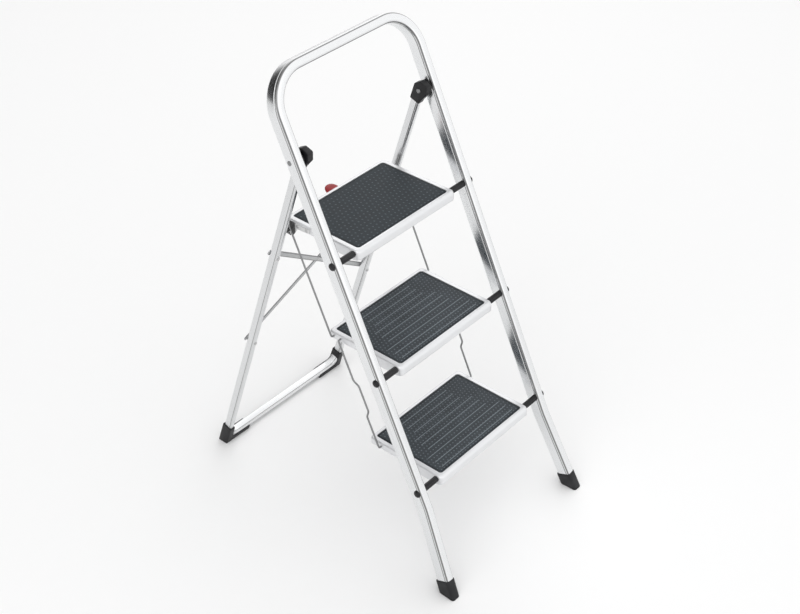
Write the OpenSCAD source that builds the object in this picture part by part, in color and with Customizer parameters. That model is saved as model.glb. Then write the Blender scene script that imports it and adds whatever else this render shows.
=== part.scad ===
// Folding three-step stool with a safety bow. Millimetres. +X to the climber's right, +Y to the rear, +Z up.

/* [Overall] */
// Depth over the feet when open
overall_depth = 732; // [600:1:900]
// Rise from one step to the next
step_pitch = 230; // [200:1:260]
// Height of the lowest step pivot above the floor
first_pivot_z = 220.7; // [190:0.1:250]
// Lean of the bow from upright, degrees
bow_lean = 24.74; // [15:0.01:35]
// Width over the bow's stiles
bow_width = 413; // [360:1:480]
// Length of the bow above the platform pivot
bow_above = 386.1; // [300:0.1:500]

/* [Bow tube] */
// Tube width across the stool
stile_w = 20; // [14:0.5:26]
// Tube depth front to back
stile_d = 33; // [22:0.5:40]
// Corner rounding of the tube
stile_round = 5; // [2:0.5:8]
// Wall of the bow tube
stile_wall = 1.8; // [1.2:0.1:3]
// Outside radius of the bow's top corners
bow_radius = 88; // [50:1:150]
// Tube centre behind the pivot line
stile_back = 7; // [3:0.1:10]
// Outward reach of the feet below the lowest pivot
foot_splay = 18.5; // [5:0.5:35]
// Radius of the splay bend
splay_bend = 250; // [150:10:400]

/* [Rear frame] */
// Rear face of the rear feet behind the rear pivot plane
foot_back = 16.1; // [14:0.1:26]
// Rear pivot along the bow from the platform pivot
rear_above = 213.1; // [180:0.1:260]
// Rear pivot behind the step pivot line
rear_pivot_b = 12; // [6:0.1:16]
// Rear tube width across the stool
rear_w = 11; // [9:0.5:18]
// Rear tube depth
rear_d = 21; // [14:0.5:26]
// Wall of the rear tube
rear_wall = 1.5; // [1:0.1:2.5]
// Gap between a hinge head and its stile
hinge_gap = 9.4; // [6:0.1:20]
// Outward spread of each rear leg at the floor
rear_spread = 15; // [4:0.5:30]
// Leg centre behind the rear pivot
rear_back = 3; // [0:0.1:8]
// Bend radius of the rear corners at the tube centre
rear_bend = 34; // [24:1:60]

/* [Steps] */
// Gap between a step pan and its stile
pan_gap = 40; // [30:0.5:50]
// Front edge of the pan ahead of its pivot
pan_front = 13; // [10:0.5:18]
// Rear edge of the pans behind the support bar
pan_overhang = 11; // [8:0.1:16]
// Top of the pan's rim above the pivot
pan_top = 7.2; // [5:0.1:10]
// Drop of the front edge below the pivot
pan_nose = 14; // [10:0.5:20]
// Drop of the rear edge below the pivot
pan_tail = 8; // [6:0.5:14]
// Sheet thickness of the pan
sheet = 1.6; // [1:0.1:2.5]
// Rim beside the mat
mat_side = 11.75; // [8:0.25:20]
// Rim behind the mat
mat_back = 8.25; // [5:0.25:20]
// Mat front edge ahead of the pivot
mat_front = 1.75; // [0:0.05:4]
// Mat thickness
mat_thick = 2.5; // [1.5:0.1:4]
// Top of the mat above the pivot
mat_top = 6.35; // [5:0.05:9]

/* [Rods and fittings] */
// Radius of the connecting rods
rod_r = 2; // [1.5:0.1:3]
// Connecting rods outside the pan
rod_out = 7; // [5:0.1:9]
// Upper rod hole ahead of the support bar
upper_ahead = 3.5; // [3.2:0.1:8]
// Lower rod hole ahead of the upper one
lower_ahead = 18.5; // [14:0.1:30]
// Rod holes above the pivot
rod_hole_z = -1; // [-4:0.1:2]
// Forward set of the lower rod's crank
rod_crank = 10.5; // [0:0.5:14]
// Radius of the step pivot bolts
bolt_r = 4; // [3:0.1:5]
// Radius of the support bar
bar_r = 3.5; // [2.5:0.1:4]
// Support bar below the top step's pivot
bar_drop = 18; // [16:0.5:24]
// Running clearance in turning holes
run_gap = 0.08; // [0.01:0.01:0.1]
// Clearance of the free rod ends
free_gap = 0.5; // [0.3:0.1:1]
// Seating clearance between fixed pieces
seat_gap = 0.03; // [0.01:0.01:0.1]

/* [Hidden] */
tube_fn = 16;
bend_fn = 72;
pin_fn = 40;
wire_fn = 20;
bend_grow = 0.02;
lap = 0.3;
lean_cos = cos(bow_lean);
lean_sin = sin(bow_lean);
cap_front = 1.2;
cap_back = 3;
cap_side = 1.6;
toe_reach = (lean_sin * first_pivot_z - (stile_back - stile_d / 2 - cap_front)) / lean_cos;
pivot_y0 = -overall_depth / 2 + toe_reach;
pitch_s = step_pitch / lean_cos;
bow_length = 2 * pitch_s + bow_above;
rear_pivot_s = 2 * pitch_s + rear_above;
stile_x = bow_width / 2 - stile_w / 2;
inner_x = bow_width / 2 - stile_w;
bend_c = bow_radius - stile_w / 2;
splay_s = -30;
splay_angle = atan(foot_splay / (first_pivot_z / lean_cos + splay_s));
cap_rise = 40;
sole = 5;
head_wall = 1.6;
rear_y = pivot_y0 + rear_pivot_s * lean_sin + rear_pivot_b * lean_cos;
rear_z = first_pivot_z + rear_pivot_s * lean_cos - rear_pivot_b * lean_sin;
rear_run = overall_depth / 2 - rear_y;
rear_lean = acos(foot_back / norm([rear_z, rear_run])) - atan2(rear_z, rear_run);
rear_reach = rear_z / cos(rear_lean);
rear_half_top = inner_x - hinge_gap - head_wall - rear_w / 2;
rear_half_floor = rear_half_top + rear_spread;
rear_splay = atan((rear_half_floor - rear_half_top) / rear_reach);
leg_top_u = -9;
bar_z = 13.5;
bar_u = (bar_z - rear_z - rear_back * sin(rear_lean)) / cos(rear_lean);
corner_u = bar_u + rear_bend;
corner_start_u = corner_u + rear_bend * sin(rear_splay);
corner_x = leg_x(corner_start_u) - rear_bend * cos(rear_splay);
head_in = rear_half_top - rear_w / 2 - head_wall;
head_out = rear_half_top + rear_w / 2 + head_wall;
foot_wall = 1.8;
foot_rise = 42;
foot_reach = 30;
foot_out = rear_w / 2 + 2.2;
pan_half = inner_x - pan_gap;
pan_width = 2 * pan_half;
mat_width = pan_width - 2 * mat_side;
rod_half = pan_half + rod_out;
brace_top_u = -281;
brace_low_u = -551;
brace_t = 2;
brace_w = 12;
brace_c = rear_back + rear_d / 2 + seat_gap;
brace_gap = 0.2;
top_y = pivot_y0 + 2 * step_pitch * tan(bow_lean);
top_z = first_pivot_z + 2 * step_pitch;
bar_rel_u = (top_z - bar_drop - rear_z - rear_back * sin(rear_lean)) / cos(rear_lean);
bar_y = rear_y - bar_rel_u * sin(rear_lean) + rear_back * cos(rear_lean) - top_y;
pan_rear = bar_y + pan_overhang;
mat_depth = pan_rear - mat_back + mat_front;
upper_hole_y = bar_y - upper_ahead;
lower_hole_y = upper_hole_y - lower_ahead;
hook_t = 2;
hook_x = pan_half + seat_gap;
notch_dir = 235.4;
notch_w = 2 * bar_r + 1.2;
catch_y = pan_rear - 15;
catch_z = -5;
catch_r = 4;
catch_half = 17;
brace_rivet_r = 2.5;
hinge_rivet_r = 5;
cap_r = 8;
rivet_r = 2;
rivet_spots = [[bar_y - 48, -1], [bar_y - 24, -1]];
rib_slot_w = 1.6;

function leg_x(u) = rear_half_top - u * tan(rear_splay);

// ---- frames of reference ----
module on_bow() {
    translate([0, pivot_y0, first_pivot_z])
        rotate([-bow_lean, 0, 0])
            rotate([90, 0, 0])
                children();
}

module on_rear() {
    translate([0, rear_y, rear_z])
        rotate([rear_lean, 0, 0])
            rotate([90, 0, 0])
                children();
}

module at_step(i) {
    translate([0, pivot_y0 + i * step_pitch * tan(bow_lean), first_pivot_z + i * step_pitch])
        children();
}

module both_sides() {
    children();
    mirror([1, 0, 0])
        children();
}

module x_cylinder(r, x0, x1, fn = pin_fn) {
    translate([x0, 0, 0])
        rotate([0, 90, 0])
            cylinder(r = r, h = x1 - x0, $fn = fn);
}

module above(z) {
    translate([-500, -500, z])
        cube([1000, 1000, 1500]);
}

// ---- tube sections: x points outward, y points to the rear ----
module rounded(w, d, r) {
    offset(r = r, $fn = tube_fn)
        square([w - 2 * r, d - 2 * r], center = true);
}

module stile_outline() {
    difference() {
        rounded(stile_w, stile_d, stile_round);
        for (side = [-1, 1])
            translate([side * (stile_w / 2 + 0.3), -stile_d / 2 + stile_round])
                circle(r = 0.9, $fn = 8);
    }
}

module stile_section() {
    difference() {
        stile_outline();
        rounded(stile_w - 2 * stile_wall, stile_d - 2 * stile_wall, stile_round - stile_wall + 0.6);
    }
}

module rear_section() {
    difference() {
        rounded(rear_w, rear_d, 3.5);
        rounded(rear_w - 2 * rear_wall, rear_d - 2 * rear_wall, 2.2);
    }
}

// Straight run towards +y of the working plane with the section's outward side on +x.
module run(length, before = 0, after = 0) {
    translate([0, -before, 0])
        rotate([-90, 0, 0])
            linear_extrude(height = before + length + after)
                children();
}

// A bend is a hair thicker than the straight tube, so the straights end inside its wall.
module bend(radius, angle) {
    rotate_extrude(angle = angle, $fn = bend_fn)
        translate([radius, 0])
            mirror([0, 1])
                offset(delta = bend_grow)
                    children();
}

// ---- bow ----
module bow_path() {
    translate([stile_x - bend_c, bow_length - stile_w / 2, 0])
        rotate([0, 0, 90])
            run(2 * (stile_x - bend_c), lap, lap)
                children(0);
    both_sides() {
        translate([stile_x - bend_c, bow_length - bow_radius, 0])
            bend(bend_c, 90)
                children(0);
        translate([stile_x, splay_s, 0])
            run(bow_length - bow_radius - splay_s, lap, lap)
                children(0);
        translate([stile_x + splay_bend, splay_s, 0])
            rotate([0, 0, 180])
                bend(splay_bend, splay_angle)
                    mirror([1, 0, 0])
                        children(0);
        on_lower_leg()
            translate([0, -300, 0])
                run(300, 0, lap)
                    children(0);
    }
}

// Lower leg frame: y runs up the splayed leg and ends at the splay bend.
module on_lower_leg() {
    translate([stile_x + splay_bend * (1 - cos(splay_angle)), splay_s - splay_bend * sin(splay_angle), 0])
        rotate([0, 0, splay_angle])
            children();
}

module on_tube_line() {
    on_bow()
        translate([0, 0, -stile_back])
            children();
}

module step_bolt_holes(r) {
    for (i = [0:2])
        at_step(i)
            both_sides()
                x_cylinder(r, inner_x - 3, bow_width / 2 + 3);
}

module at_rear_pivot() {
    translate([0, rear_y, rear_z])
        children();
}

module safety_bow() {
    color([0.82, 0.83, 0.85])
        difference() {
            intersection() {
                on_tube_line()
                    bow_path()
                        stile_section();
                above(sole);
            }
            step_bolt_holes(bolt_r + seat_gap);
            at_rear_pivot()
                both_sides()
                    x_cylinder(bolt_r + seat_gap, inner_x - 3, bow_width / 2 + 3);
        }
}

module front_foot_shape() {
    on_tube_line()
        on_lower_leg()
            translate([0, -300, 0])
                run(300)
                    children();
}

module front_foot() {
    color([0.07, 0.07, 0.08])
        difference() {
            intersection() {
                front_foot_shape()
                    translate([0, (cap_back - cap_front) / 2])
                        rounded(stile_w + 2 * cap_side, stile_d + cap_front + cap_back, stile_round + 1);
                above(0);
                on_tube_line()
                    on_lower_leg()
                        translate([-40, foot_top() - 200, -40])
                            cube([80, 200, 80]);
            }
            intersection() {
                front_foot_shape()
                    offset(delta = seat_gap)
                        stile_outline();
                above(sole - seat_gap);
            }
        }
}

// Distance up the lower leg, from the splay bend, at which the foot cap ends.
function foot_top() = cap_rise - (first_pivot_z / lean_cos + splay_s) / cos(splay_angle)
    + splay_bend * sin(splay_angle);

module front_foot_right() front_foot();
module front_foot_left() mirror([1, 0, 0]) front_foot();

// ---- rear frame ----
module on_leg_line() {
    on_rear()
        translate([0, 0, -rear_back])
            children();
}

module rear_corner(leg_from) {
    translate([leg_x(corner_start_u), corner_start_u, 0])
        rotate([0, 0, rear_splay])
            run((leg_from - corner_start_u) / cos(rear_splay), lap)
                children();
    translate([corner_x, corner_u, 0])
        rotate([0, 0, -90])
            bend(rear_bend, 90 + rear_splay)
                children();
}

module rear_bar(from, to) {
    translate([from, bar_u, 0])
        rotate([0, 0, -90])
            run(to - from, lap, lap)
                children();
}

module rear_frame() {
    color([0.8, 0.81, 0.83])
        difference() {
            on_leg_line() {
                both_sides()
                    rear_corner(leg_top_u)
                        rear_section();
                rear_bar(-corner_x, corner_x)
                    rear_section();
            }
            brace_rivet_shanks(brace_rivet_r + seat_gap);
            top_bar_hole();
        }
}

module top_bar_hole() {
    at_step(2)
        translate([0, bar_y, -bar_drop])
            x_cylinder(bar_r + seat_gap, -leg_x(bar_rel_u), leg_x(bar_rel_u));
}

module support_bar() {
    bar_end = leg_x(bar_rel_u) + rear_w / 2 - rear_wall - 0.3;
    collar = leg_x(bar_rel_u) - rear_w / 2 - 0.2;
    color([0.5, 0.51, 0.53])
        at_step(2)
            translate([0, bar_y, -bar_drop]) {
                x_cylinder(bar_r, -bar_end, bar_end);
                both_sides()
                    x_cylinder(bar_r + 1.5, collar - 1.6, collar);
            }
}

// Boot round the corner of the rear tube: a sleeve on the leg and a low channel along the bar.
module rear_foot_outline() {
    leg = leg_x(bar_u + foot_rise);
    offset(r = 2, $fn = tube_fn)
        offset(delta = -2)
            polygon([[leg + foot_out, bar_u + foot_rise], [leg - foot_out, bar_u + foot_rise],
                [leg_x(bar_u) - foot_out - 1, bar_u + 11], [leg_x(bar_u) - foot_out - 7, bar_u + 3],
                [corner_x - foot_reach, bar_u + 2], [corner_x - foot_reach, bar_u - 30],
                [leg_x(bar_u) + foot_out + 1, bar_u - 30]]);
}

module rear_foot() {
    color([0.07, 0.07, 0.08])
        difference() {
            intersection() {
                on_rear()
                    translate([0, 0, -foot_back])
                        linear_extrude(height = foot_back - rear_back + rear_d / 2 + foot_wall)
                            rear_foot_outline();
                above(0);
            }
            on_leg_line() {
                rear_corner(leg_top_u)
                    offset(delta = seat_gap)
                        rounded(rear_w, rear_d, 3.5);
                rear_bar(-corner_x, corner_x)
                    offset(delta = seat_gap)
                        rounded(rear_w, rear_d, 3.5);
            }
        }
}

module rear_foot_right() rear_foot();
module rear_foot_left() mirror([1, 0, 0]) rear_foot();

// ---- hinge heads ----
module head_outline() {
    offset(r = 4, $fn = tube_fn)
        offset(delta = -4)
            polygon([[15.5, -29], [15.5, 9], [4, 21], [-15, 21], [-20, 3], [-11, -20], [-9.2, -29]]);
}

module hinge_head() {
    color([0.06, 0.06, 0.07])
        difference() {
            at_rear_pivot()
                rotate([rear_lean, 0, 0])
                    translate([head_in, 0, 0])
                        rotate([90, 0, 90])
                            linear_extrude(height = head_out - head_in)
                                head_outline();
            on_leg_line()
                translate([leg_x(leg_top_u) + (leg_top_u + 60) * sin(rear_splay), -60, 0])
                    rotate([0, 0, rear_splay])
                        run(60 + leg_top_u + seat_gap)
                            offset(delta = seat_gap)
                                rounded(rear_w, rear_d, 3.5);
            at_rear_pivot()
                x_cylinder(bolt_r + run_gap, head_in - 3, head_out + 3);
            at_rear_pivot()
                rotate([rear_lean, 0, 0])
                    translate([head_in, 0, 0])
                        rotate([90, 0, 90])
                            translate([0, 0, -1])
                                linear_extrude(height = 2.2)
                                    difference() {
                                        offset(delta = -2.4)
                                            head_outline();
                                        offset(delta = -4.2)
                                            head_outline();
                                    }
        }
}

module hinge_head_right() hinge_head();
module hinge_head_left() mirror([1, 0, 0]) hinge_head();

module hinge_spacer() {
    color([0.06, 0.06, 0.07])
        at_rear_pivot()
            difference() {
                union() {
                    x_cylinder(11, head_out + 0.3, inner_x - seat_gap, 64);
                    x_cylinder(15, inner_x - 6, inner_x - seat_gap, 64);
                }
                x_cylinder(bolt_r + seat_gap, head_out - 1, inner_x + 1);
            }
}

module hinge_spacer_right() hinge_spacer();
module hinge_spacer_left() mirror([1, 0, 0]) hinge_spacer();

module rivet_head(r, t) {
    rotate([0, 90, 0])
        rotate_extrude($fn = pin_fn)
            polygon([[0, 0], [r, 0], [r, t * 0.35], [r * 0.82, t * 0.75], [r * 0.5, t * 0.95], [0, t]]);
}

module hinge_rivets() {
    outer = bow_width / 2 + seat_gap;
    color([0.7, 0.71, 0.73])
        at_rear_pivot()
            both_sides() {
                x_cylinder(bolt_r, head_in - 0.4, outer + 0.2);
                translate([outer, 0, 0])
                    rivet_head(hinge_rivet_r, 1.4);
                translate([head_in - 0.3, 0, 0])
                    mirror([1, 0, 0])
                        rivet_head(hinge_rivet_r, 1.8);
            }
}

// ---- braces ----
module brace(c0) {
    left = [-leg_x(brace_top_u), brace_top_u];
    right = [leg_x(brace_low_u), brace_low_u];
    span = norm(right - left);
    turn = atan2(right[1] - left[1], right[0] - left[0]);
    difference() {
        on_rear()
            translate([left[0], left[1], -c0 - brace_t])
                rotate([0, 0, turn])
                    linear_extrude(height = brace_t)
                        union() {
                            translate([-4, -brace_w / 2])
                                square([span + 8, brace_w]);
                            for (x = [-4, span + 4])
                                translate([x, 0])
                                    circle(r = brace_w / 2, $fn = tube_fn);
                        }
        brace_rivet_shanks(brace_rivet_r + seat_gap);
    }
}

module brace_a() {
    color([0.66, 0.67, 0.69])
        brace(brace_c);
}

module brace_b() {
    color([0.66, 0.67, 0.69])
        mirror([1, 0, 0])
            brace(brace_c + brace_t + brace_gap);
}

function brace_ends() = [[-leg_x(brace_top_u), brace_top_u, 0], [leg_x(brace_low_u), brace_low_u, 0],
    [leg_x(brace_top_u), brace_top_u, 1], [-leg_x(brace_low_u), brace_low_u, 1]];

function cross_u() = brace_top_u + (brace_low_u - brace_top_u) * leg_x(brace_top_u)
    / (leg_x(brace_top_u) + leg_x(brace_low_u));

module brace_rivet_shanks(r) {
    on_rear() {
        for (p = brace_ends())
            translate([p[0], p[1], -brace_c - 6])
                cylinder(r = r, h = 6 + rear_d + 4, $fn = wire_fn);
        translate([0, cross_u(), -brace_c - 8])
            cylinder(r = r, h = 12, $fn = wire_fn);
    }
}

module rivet(x, u, c_front, c_back) {
    on_rear() {
        translate([x, u, -c_back - 0.1])
            cylinder(r = brace_rivet_r, h = c_back - c_front + 0.2, $fn = wire_fn);
        for (end = [[-c_front, 1], [-c_back, -1]])
            translate([x, u, end[0]])
                scale([1, 1, end[1]])
                    cylinder(r1 = 4.6, r2 = 2.8, h = 1.6, $fn = wire_fn);
    }
}

module brace_rivets() {
    front = rear_back - rear_d / 2 - seat_gap;
    color([0.55, 0.56, 0.58]) {
        for (p = brace_ends())
            rivet(p[0], p[1], front, brace_c + brace_t + p[2] * (brace_t + brace_gap) + seat_gap);
        rivet(0, cross_u(), brace_c - seat_gap, brace_c + 2 * brace_t + brace_gap + seat_gap);
    }
}

module brace_washers() {
    color([0.6, 0.61, 0.63])
        difference() {
            on_rear()
                for (p = brace_ends())
                    if (p[2] == 1)
                        translate([p[0], p[1], -brace_c - brace_t - brace_gap + seat_gap])
                            cylinder(r = 4.6, h = brace_t + brace_gap - 2 * seat_gap, $fn = tube_fn);
            brace_rivet_shanks(brace_rivet_r + seat_gap);
        }
}

// ---- steps ----
module side_profile() {
    offset(r = 4, $fn = tube_fn)
        offset(delta = -4)
            polygon([[-pan_front, pan_top], [-pan_front, -pan_nose], [8, -pan_nose - 3], [60, -pan_nose - 2],
                [105, -pan_tail], [pan_rear, -pan_tail], [pan_rear, pan_top]]);
}

module side_extrude(half) {
    translate([-half, 0, 0])
        rotate([90, 0, 90])
            linear_extrude(height = 2 * half)
                children();
}

module front_extrude() {
    translate([0, pan_rear + 40, 0])
        rotate([90, 0, 0])
            linear_extrude(height = pan_rear + pan_front + 80)
                children();
}

module pan_outer() {
    intersection() {
        side_extrude(pan_half)
            side_profile();
        front_extrude()
            translate([0, -40])
                offset(r = 4, $fn = tube_fn)
                    translate([4 - pan_half, 4])
                        square([pan_width - 8, pan_top + 40 - 8]);
    }
}

module pan_inner() {
    intersection() {
        side_extrude(pan_half)
            union() {
                offset(delta = -sheet)
                    side_profile();
                translate([-pan_front + sheet, -60])
                    square([pan_front + pan_rear - 2 * sheet, 60 + pan_top - 12]);
            }
        front_extrude()
            translate([0, -80])
                offset(r = 3, $fn = tube_fn)
                    translate([3 + sheet - pan_half, 3])
                        square([pan_width - 2 * sheet - 6, pan_top + 80 - sheet - 6]);
    }
}

module mat_plan(grow) {
    translate([0, mat_depth / 2 - mat_front])
        rounded(mat_width + 2 * grow, mat_depth + 2 * grow, 6 + grow);
}

module pan_shell() {
    difference() {
        union() {
            difference() {
                pan_outer();
                pan_inner();
            }
            intersection() {
                pan_outer();
                translate([0, 0, mat_top - mat_thick - sheet])
                    linear_extrude(height = 30)
                        mat_plan(sheet);
            }
            translate([0, -pan_front + 2.2, -pan_nose - 0.8])
                x_cylinder(2.2, -pan_half + 1.7, pan_half - 1.7, wire_fn);
        }
        translate([0, 0, mat_top - mat_thick])
            linear_extrude(height = 30)
                mat_plan(seat_gap);
        x_cylinder(bolt_r + run_gap, -pan_half - 5, pan_half + 5);
    }
}

module rod_hole(y, gap) {
    translate([0, y, rod_hole_z])
        x_cylinder(rod_r + gap, -pan_half - 5, pan_half + 5, wire_fn);
}

module pan_colour() color([0.88, 0.89, 0.9]) children();

module top_step() {
    pan_colour()
        at_step(2)
            difference() {
                union() {
                    pan_shell();
                    both_sides()
                        catch_lug();
                }
                rod_hole(upper_hole_y, run_gap);
                hook_rivet_holes(rivet_r + seat_gap);
                translate([-catch_half - 1.5, pan_rear - 5, -pan_tail - 10])
                    cube([2 * catch_half + 3, 10, pan_tail + 9]);
                translate([0, catch_y, catch_z])
                    x_cylinder(2 + seat_gap, -40, 40, wire_fn);
            }
}

module catch_lug() {
    floor_z = mat_top - mat_thick - sheet + 0.2;
    translate([catch_half + 1.5, catch_y, 0])
        rotate([90, 0, 90])
            linear_extrude(height = 2.5)
                union() {
                    translate([-5, catch_z])
                        square([10, floor_z - catch_z]);
                    translate([0, catch_z])
                        circle(r = 5, $fn = tube_fn);
                }
}

module middle_step() {
    pan_colour()
        at_step(1)
            difference() {
                pan_shell();
                rod_hole(upper_hole_y, free_gap);
                rod_hole(lower_hole_y, run_gap);
            }
}

module bottom_step() {
    pan_colour()
        at_step(0)
            difference() {
                pan_shell();
                rod_hole(lower_hole_y, free_gap);
            }
}

module mat_pad() {
    translate([0, 0, mat_top - mat_thick + seat_gap])
        linear_extrude(height = mat_thick - seat_gap)
            mat_plan(-0.3);
}

module ribbed_mat() {
    color([0.23, 0.25, 0.27])
        difference() {
            mat_pad();
            for (k = [0:8])
                translate([-mat_width / 2 + 14, 12 + k * (mat_depth - 24) / 8.5, mat_top - 0.5])
                    cube([mat_width - 28, rib_slot_w, 2]);
        }
}

module top_mat() {
    color([0.23, 0.25, 0.27])
        at_step(2)
            mat_pad();
}

module middle_mat() at_step(1) ribbed_mat();
module bottom_mat() at_step(0) ribbed_mat();

// ---- step pivots ----
module ribbed_spacer() {
    x0 = pan_half + 0.4;
    x1 = inner_x - seat_gap;
    color([0.08, 0.08, 0.09])
        difference() {
            union() {
                x_cylinder(6.2, x0, x1);
                for (a = [0:45:315])
                    rotate([a, 0, 0])
                        translate([x0 + 0.6, -0.9, 5])
                            cube([x1 - x0 - 1.6, 1.8, 1.7]);
                x_cylinder(7, x1 - 2, x1);
            }
            x_cylinder(bolt_r + seat_gap, x0 - 1, x1 + 1);
        }
}

module top_spacer_right() at_step(2) ribbed_spacer();
module top_spacer_left() mirror([1, 0, 0]) top_spacer_right();
module middle_spacer_right() at_step(1) ribbed_spacer();
module middle_spacer_left() mirror([1, 0, 0]) middle_spacer_right();
module bottom_spacer_right() at_step(0) ribbed_spacer();
module bottom_spacer_left() mirror([1, 0, 0]) bottom_spacer_right();

module step_bolts() {
    inside = pan_half - sheet - 0.4;
    color([0.6, 0.61, 0.63])
        for (i = [0:2])
            at_step(i)
                both_sides() {
                    x_cylinder(bolt_r, inside - 3, bow_width / 2 - 0.5);
                    x_cylinder(bolt_r + 1, inside - 3.5, inside - 1.5);
                }
}

module bolt_caps() {
    outer = bow_width / 2 + seat_gap;
    color([0.06, 0.06, 0.07])
        for (i = [0:2])
            at_step(i)
                both_sides() {
                    translate([outer, 0, 0])
                        rivet_head(cap_r, 4.6);
                    x_cylinder(bolt_r - 0.3, outer - 0.4, outer + 0.5);
                }
}

// ---- rods ----
// A round wire drawn as straight runs and bends: each step is [run, roll, bend angle, bend radius].
module wire(steps, r, k = 0) {
    length = steps[k][0];
    angle = steps[k][2];
    radius = steps[k][3];
    before = k == 0 ? 0 : lap;
    after = k == len(steps) - 1 ? 0 : lap;
    translate([0, 0, -before])
        cylinder(r = r, h = before + length + after, $fn = wire_fn);
    if (k < len(steps) - 1)
        translate([0, 0, length])
            rotate([0, 0, steps[k][1]]) {
                translate([radius, 0, 0])
                    mirror([1, 0, 0])
                        rotate([90, 0, 0])
                            rotate_extrude(angle = angle, $fn = bend_fn)
                                translate([radius, 0])
                                    circle(r = r + bend_grow, $fn = wire_fn);
                translate([radius * (1 - cos(angle)), 0, radius * sin(angle)])
                    rotate([0, angle, 0])
                        wire(steps, r, k + 1);
            }
}

module rod(y, cranked) {
    inside = pan_half - sheet - 2.4;
    end_bend = 5;
    pin = rod_half - end_bend - inside;
    turn = 45;
    crank_bend = 4;
    slant = (rod_crank - 2 * crank_bend * (1 - cos(turn))) / sin(turn);
    crank_rise = 2 * crank_bend * sin(turn) + slant * cos(turn);
    low_run = 76 - end_bend;
    mid_run = 58;
    high_run = pitch_s - 2 * end_bend - low_run - mid_run - 2 * crank_rise;
    plain = [[pin, 180 - bow_lean, 90, end_bend], [pitch_s - 2 * end_bend, 0, 90, end_bend], [pin, 0, 0, 0]];
    crank = [[pin, 180 - bow_lean, 90, end_bend], [low_run, 90, turn, crank_bend],
        [slant, 180, turn, crank_bend], [mid_run, 0, turn, crank_bend], [slant, 180, turn, crank_bend],
        [high_run, -90, 90, end_bend], [pin, 0, 0, 0]];
    color([0.5, 0.51, 0.53])
        union() {
            translate([inside, y, rod_hole_z])
                rotate([0, 90, 0])
                    wire(cranked ? crank : plain, rod_r);
            for (k = [0, pitch_s])
                translate([inside, y + k * lean_sin, rod_hole_z + k * lean_cos])
                    x_cylinder(rod_r + 1, -1, 0.6, wire_fn);
        }
}

module upper_rod_right() at_step(1) rod(upper_hole_y, false);
module upper_rod_left() mirror([1, 0, 0]) upper_rod_right();
module lower_rod_right() at_step(0) rod(lower_hole_y, true);
module lower_rod_left() mirror([1, 0, 0]) lower_rod_right();

// ---- platform hooks ----
module hook_rivet_holes(r) {
    for (p = rivet_spots)
        translate([0, p[0], p[1]])
            both_sides()
                x_cylinder(r, pan_half - 6, pan_half + 8, wire_fn);
}

module platform_hook() {
    color([0.36, 0.37, 0.39])
        at_step(2)
            difference() {
                translate([hook_x, 0, 0])
                    rotate([90, 0, 90])
                        linear_extrude(height = hook_t)
                            difference() {
                                offset(r = 3, $fn = tube_fn)
                                    offset(delta = -3)
                                        translate([bar_y, 0])
                                            polygon([[-56, 3], [-56, -6], [-22, -8], [-10, -bar_drop + 6],
                                                [2, -bar_drop - 12], [16, -bar_drop - 12],
                                                [16, -bar_drop + 8], [12, 3]]);
                                translate([bar_y, -bar_drop])
                                    circle(r = notch_w / 2, $fn = tube_fn);
                                translate([bar_y, -bar_drop])
                                    rotate(notch_dir)
                                        translate([0, -notch_w / 2])
                                            square([60, notch_w]);
                            }
                rod_hole(upper_hole_y, run_gap);
                hook_rivet_holes(rivet_r + seat_gap);
            }
}

module platform_hook_right() platform_hook();
module platform_hook_left() mirror([1, 0, 0]) platform_hook();

module hook_rivets() {
    inside = pan_half - sheet - seat_gap;
    outside = hook_x + hook_t + seat_gap;
    color([0.62, 0.63, 0.65])
        at_step(2)
            both_sides()
                for (p = rivet_spots)
                    translate([0, p[0], p[1]]) {
                        x_cylinder(rivet_r, inside - 0.2, outside + 0.2, wire_fn);
                        translate([outside, 0, 0])
                            rivet_head(3.6, 1.3);
                        translate([inside, 0, 0])
                            mirror([1, 0, 0])
                                rivet_head(3.6, 1.3);
                    }
}

// ---- safety catch ----
module catch_side() {
    offset(r = 1, $fn = tube_fn)
        offset(delta = -1)
            union() {
                translate([catch_y, catch_z])
                    circle(r = catch_r, $fn = tube_fn);
                polygon([[catch_y, catch_z + 1.5], [catch_y, catch_z - 3.5], [pan_rear + 4, catch_z - 3.5],
                    [pan_rear + 26, catch_z + 2], [pan_rear + 26, catch_z + 4.5],
                    [pan_rear + 4, catch_z + 1.5]]);
                polygon([[pan_rear - 4, catch_z], [pan_rear + 1, catch_z], [pan_rear + 2, -bar_drop - 6],
                    [pan_rear - 1.5, -bar_drop - 6]]);
            }
}

module safety_catch() {
    color([0.72, 0.05, 0.06])
        at_step(2)
            difference() {
                intersection() {
                    side_extrude(catch_half)
                        catch_side();
                    translate([0, 0, -60])
                        linear_extrude(height = 80)
                            union() {
                                translate([-catch_half, catch_y - 10])
                                    square([2 * catch_half, pan_rear - catch_y + 16]);
                                translate([0, pan_rear + 6])
                                    scale([1, 20 / catch_half])
                                        circle(r = catch_half, $fn = 64);
                            }
                }
                translate([0, catch_y, catch_z])
                    x_cylinder(2 + run_gap, -40, 40, wire_fn);
            }
}

module catch_pin() {
    half = catch_half + 5;
    color([0.6, 0.61, 0.63])
        at_step(2)
            translate([0, catch_y, catch_z]) {
                x_cylinder(2, -half, half, wire_fn);
                both_sides()
                    x_cylinder(3.2, half - 0.6, half + 0.8, wire_fn);
            }
}

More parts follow.
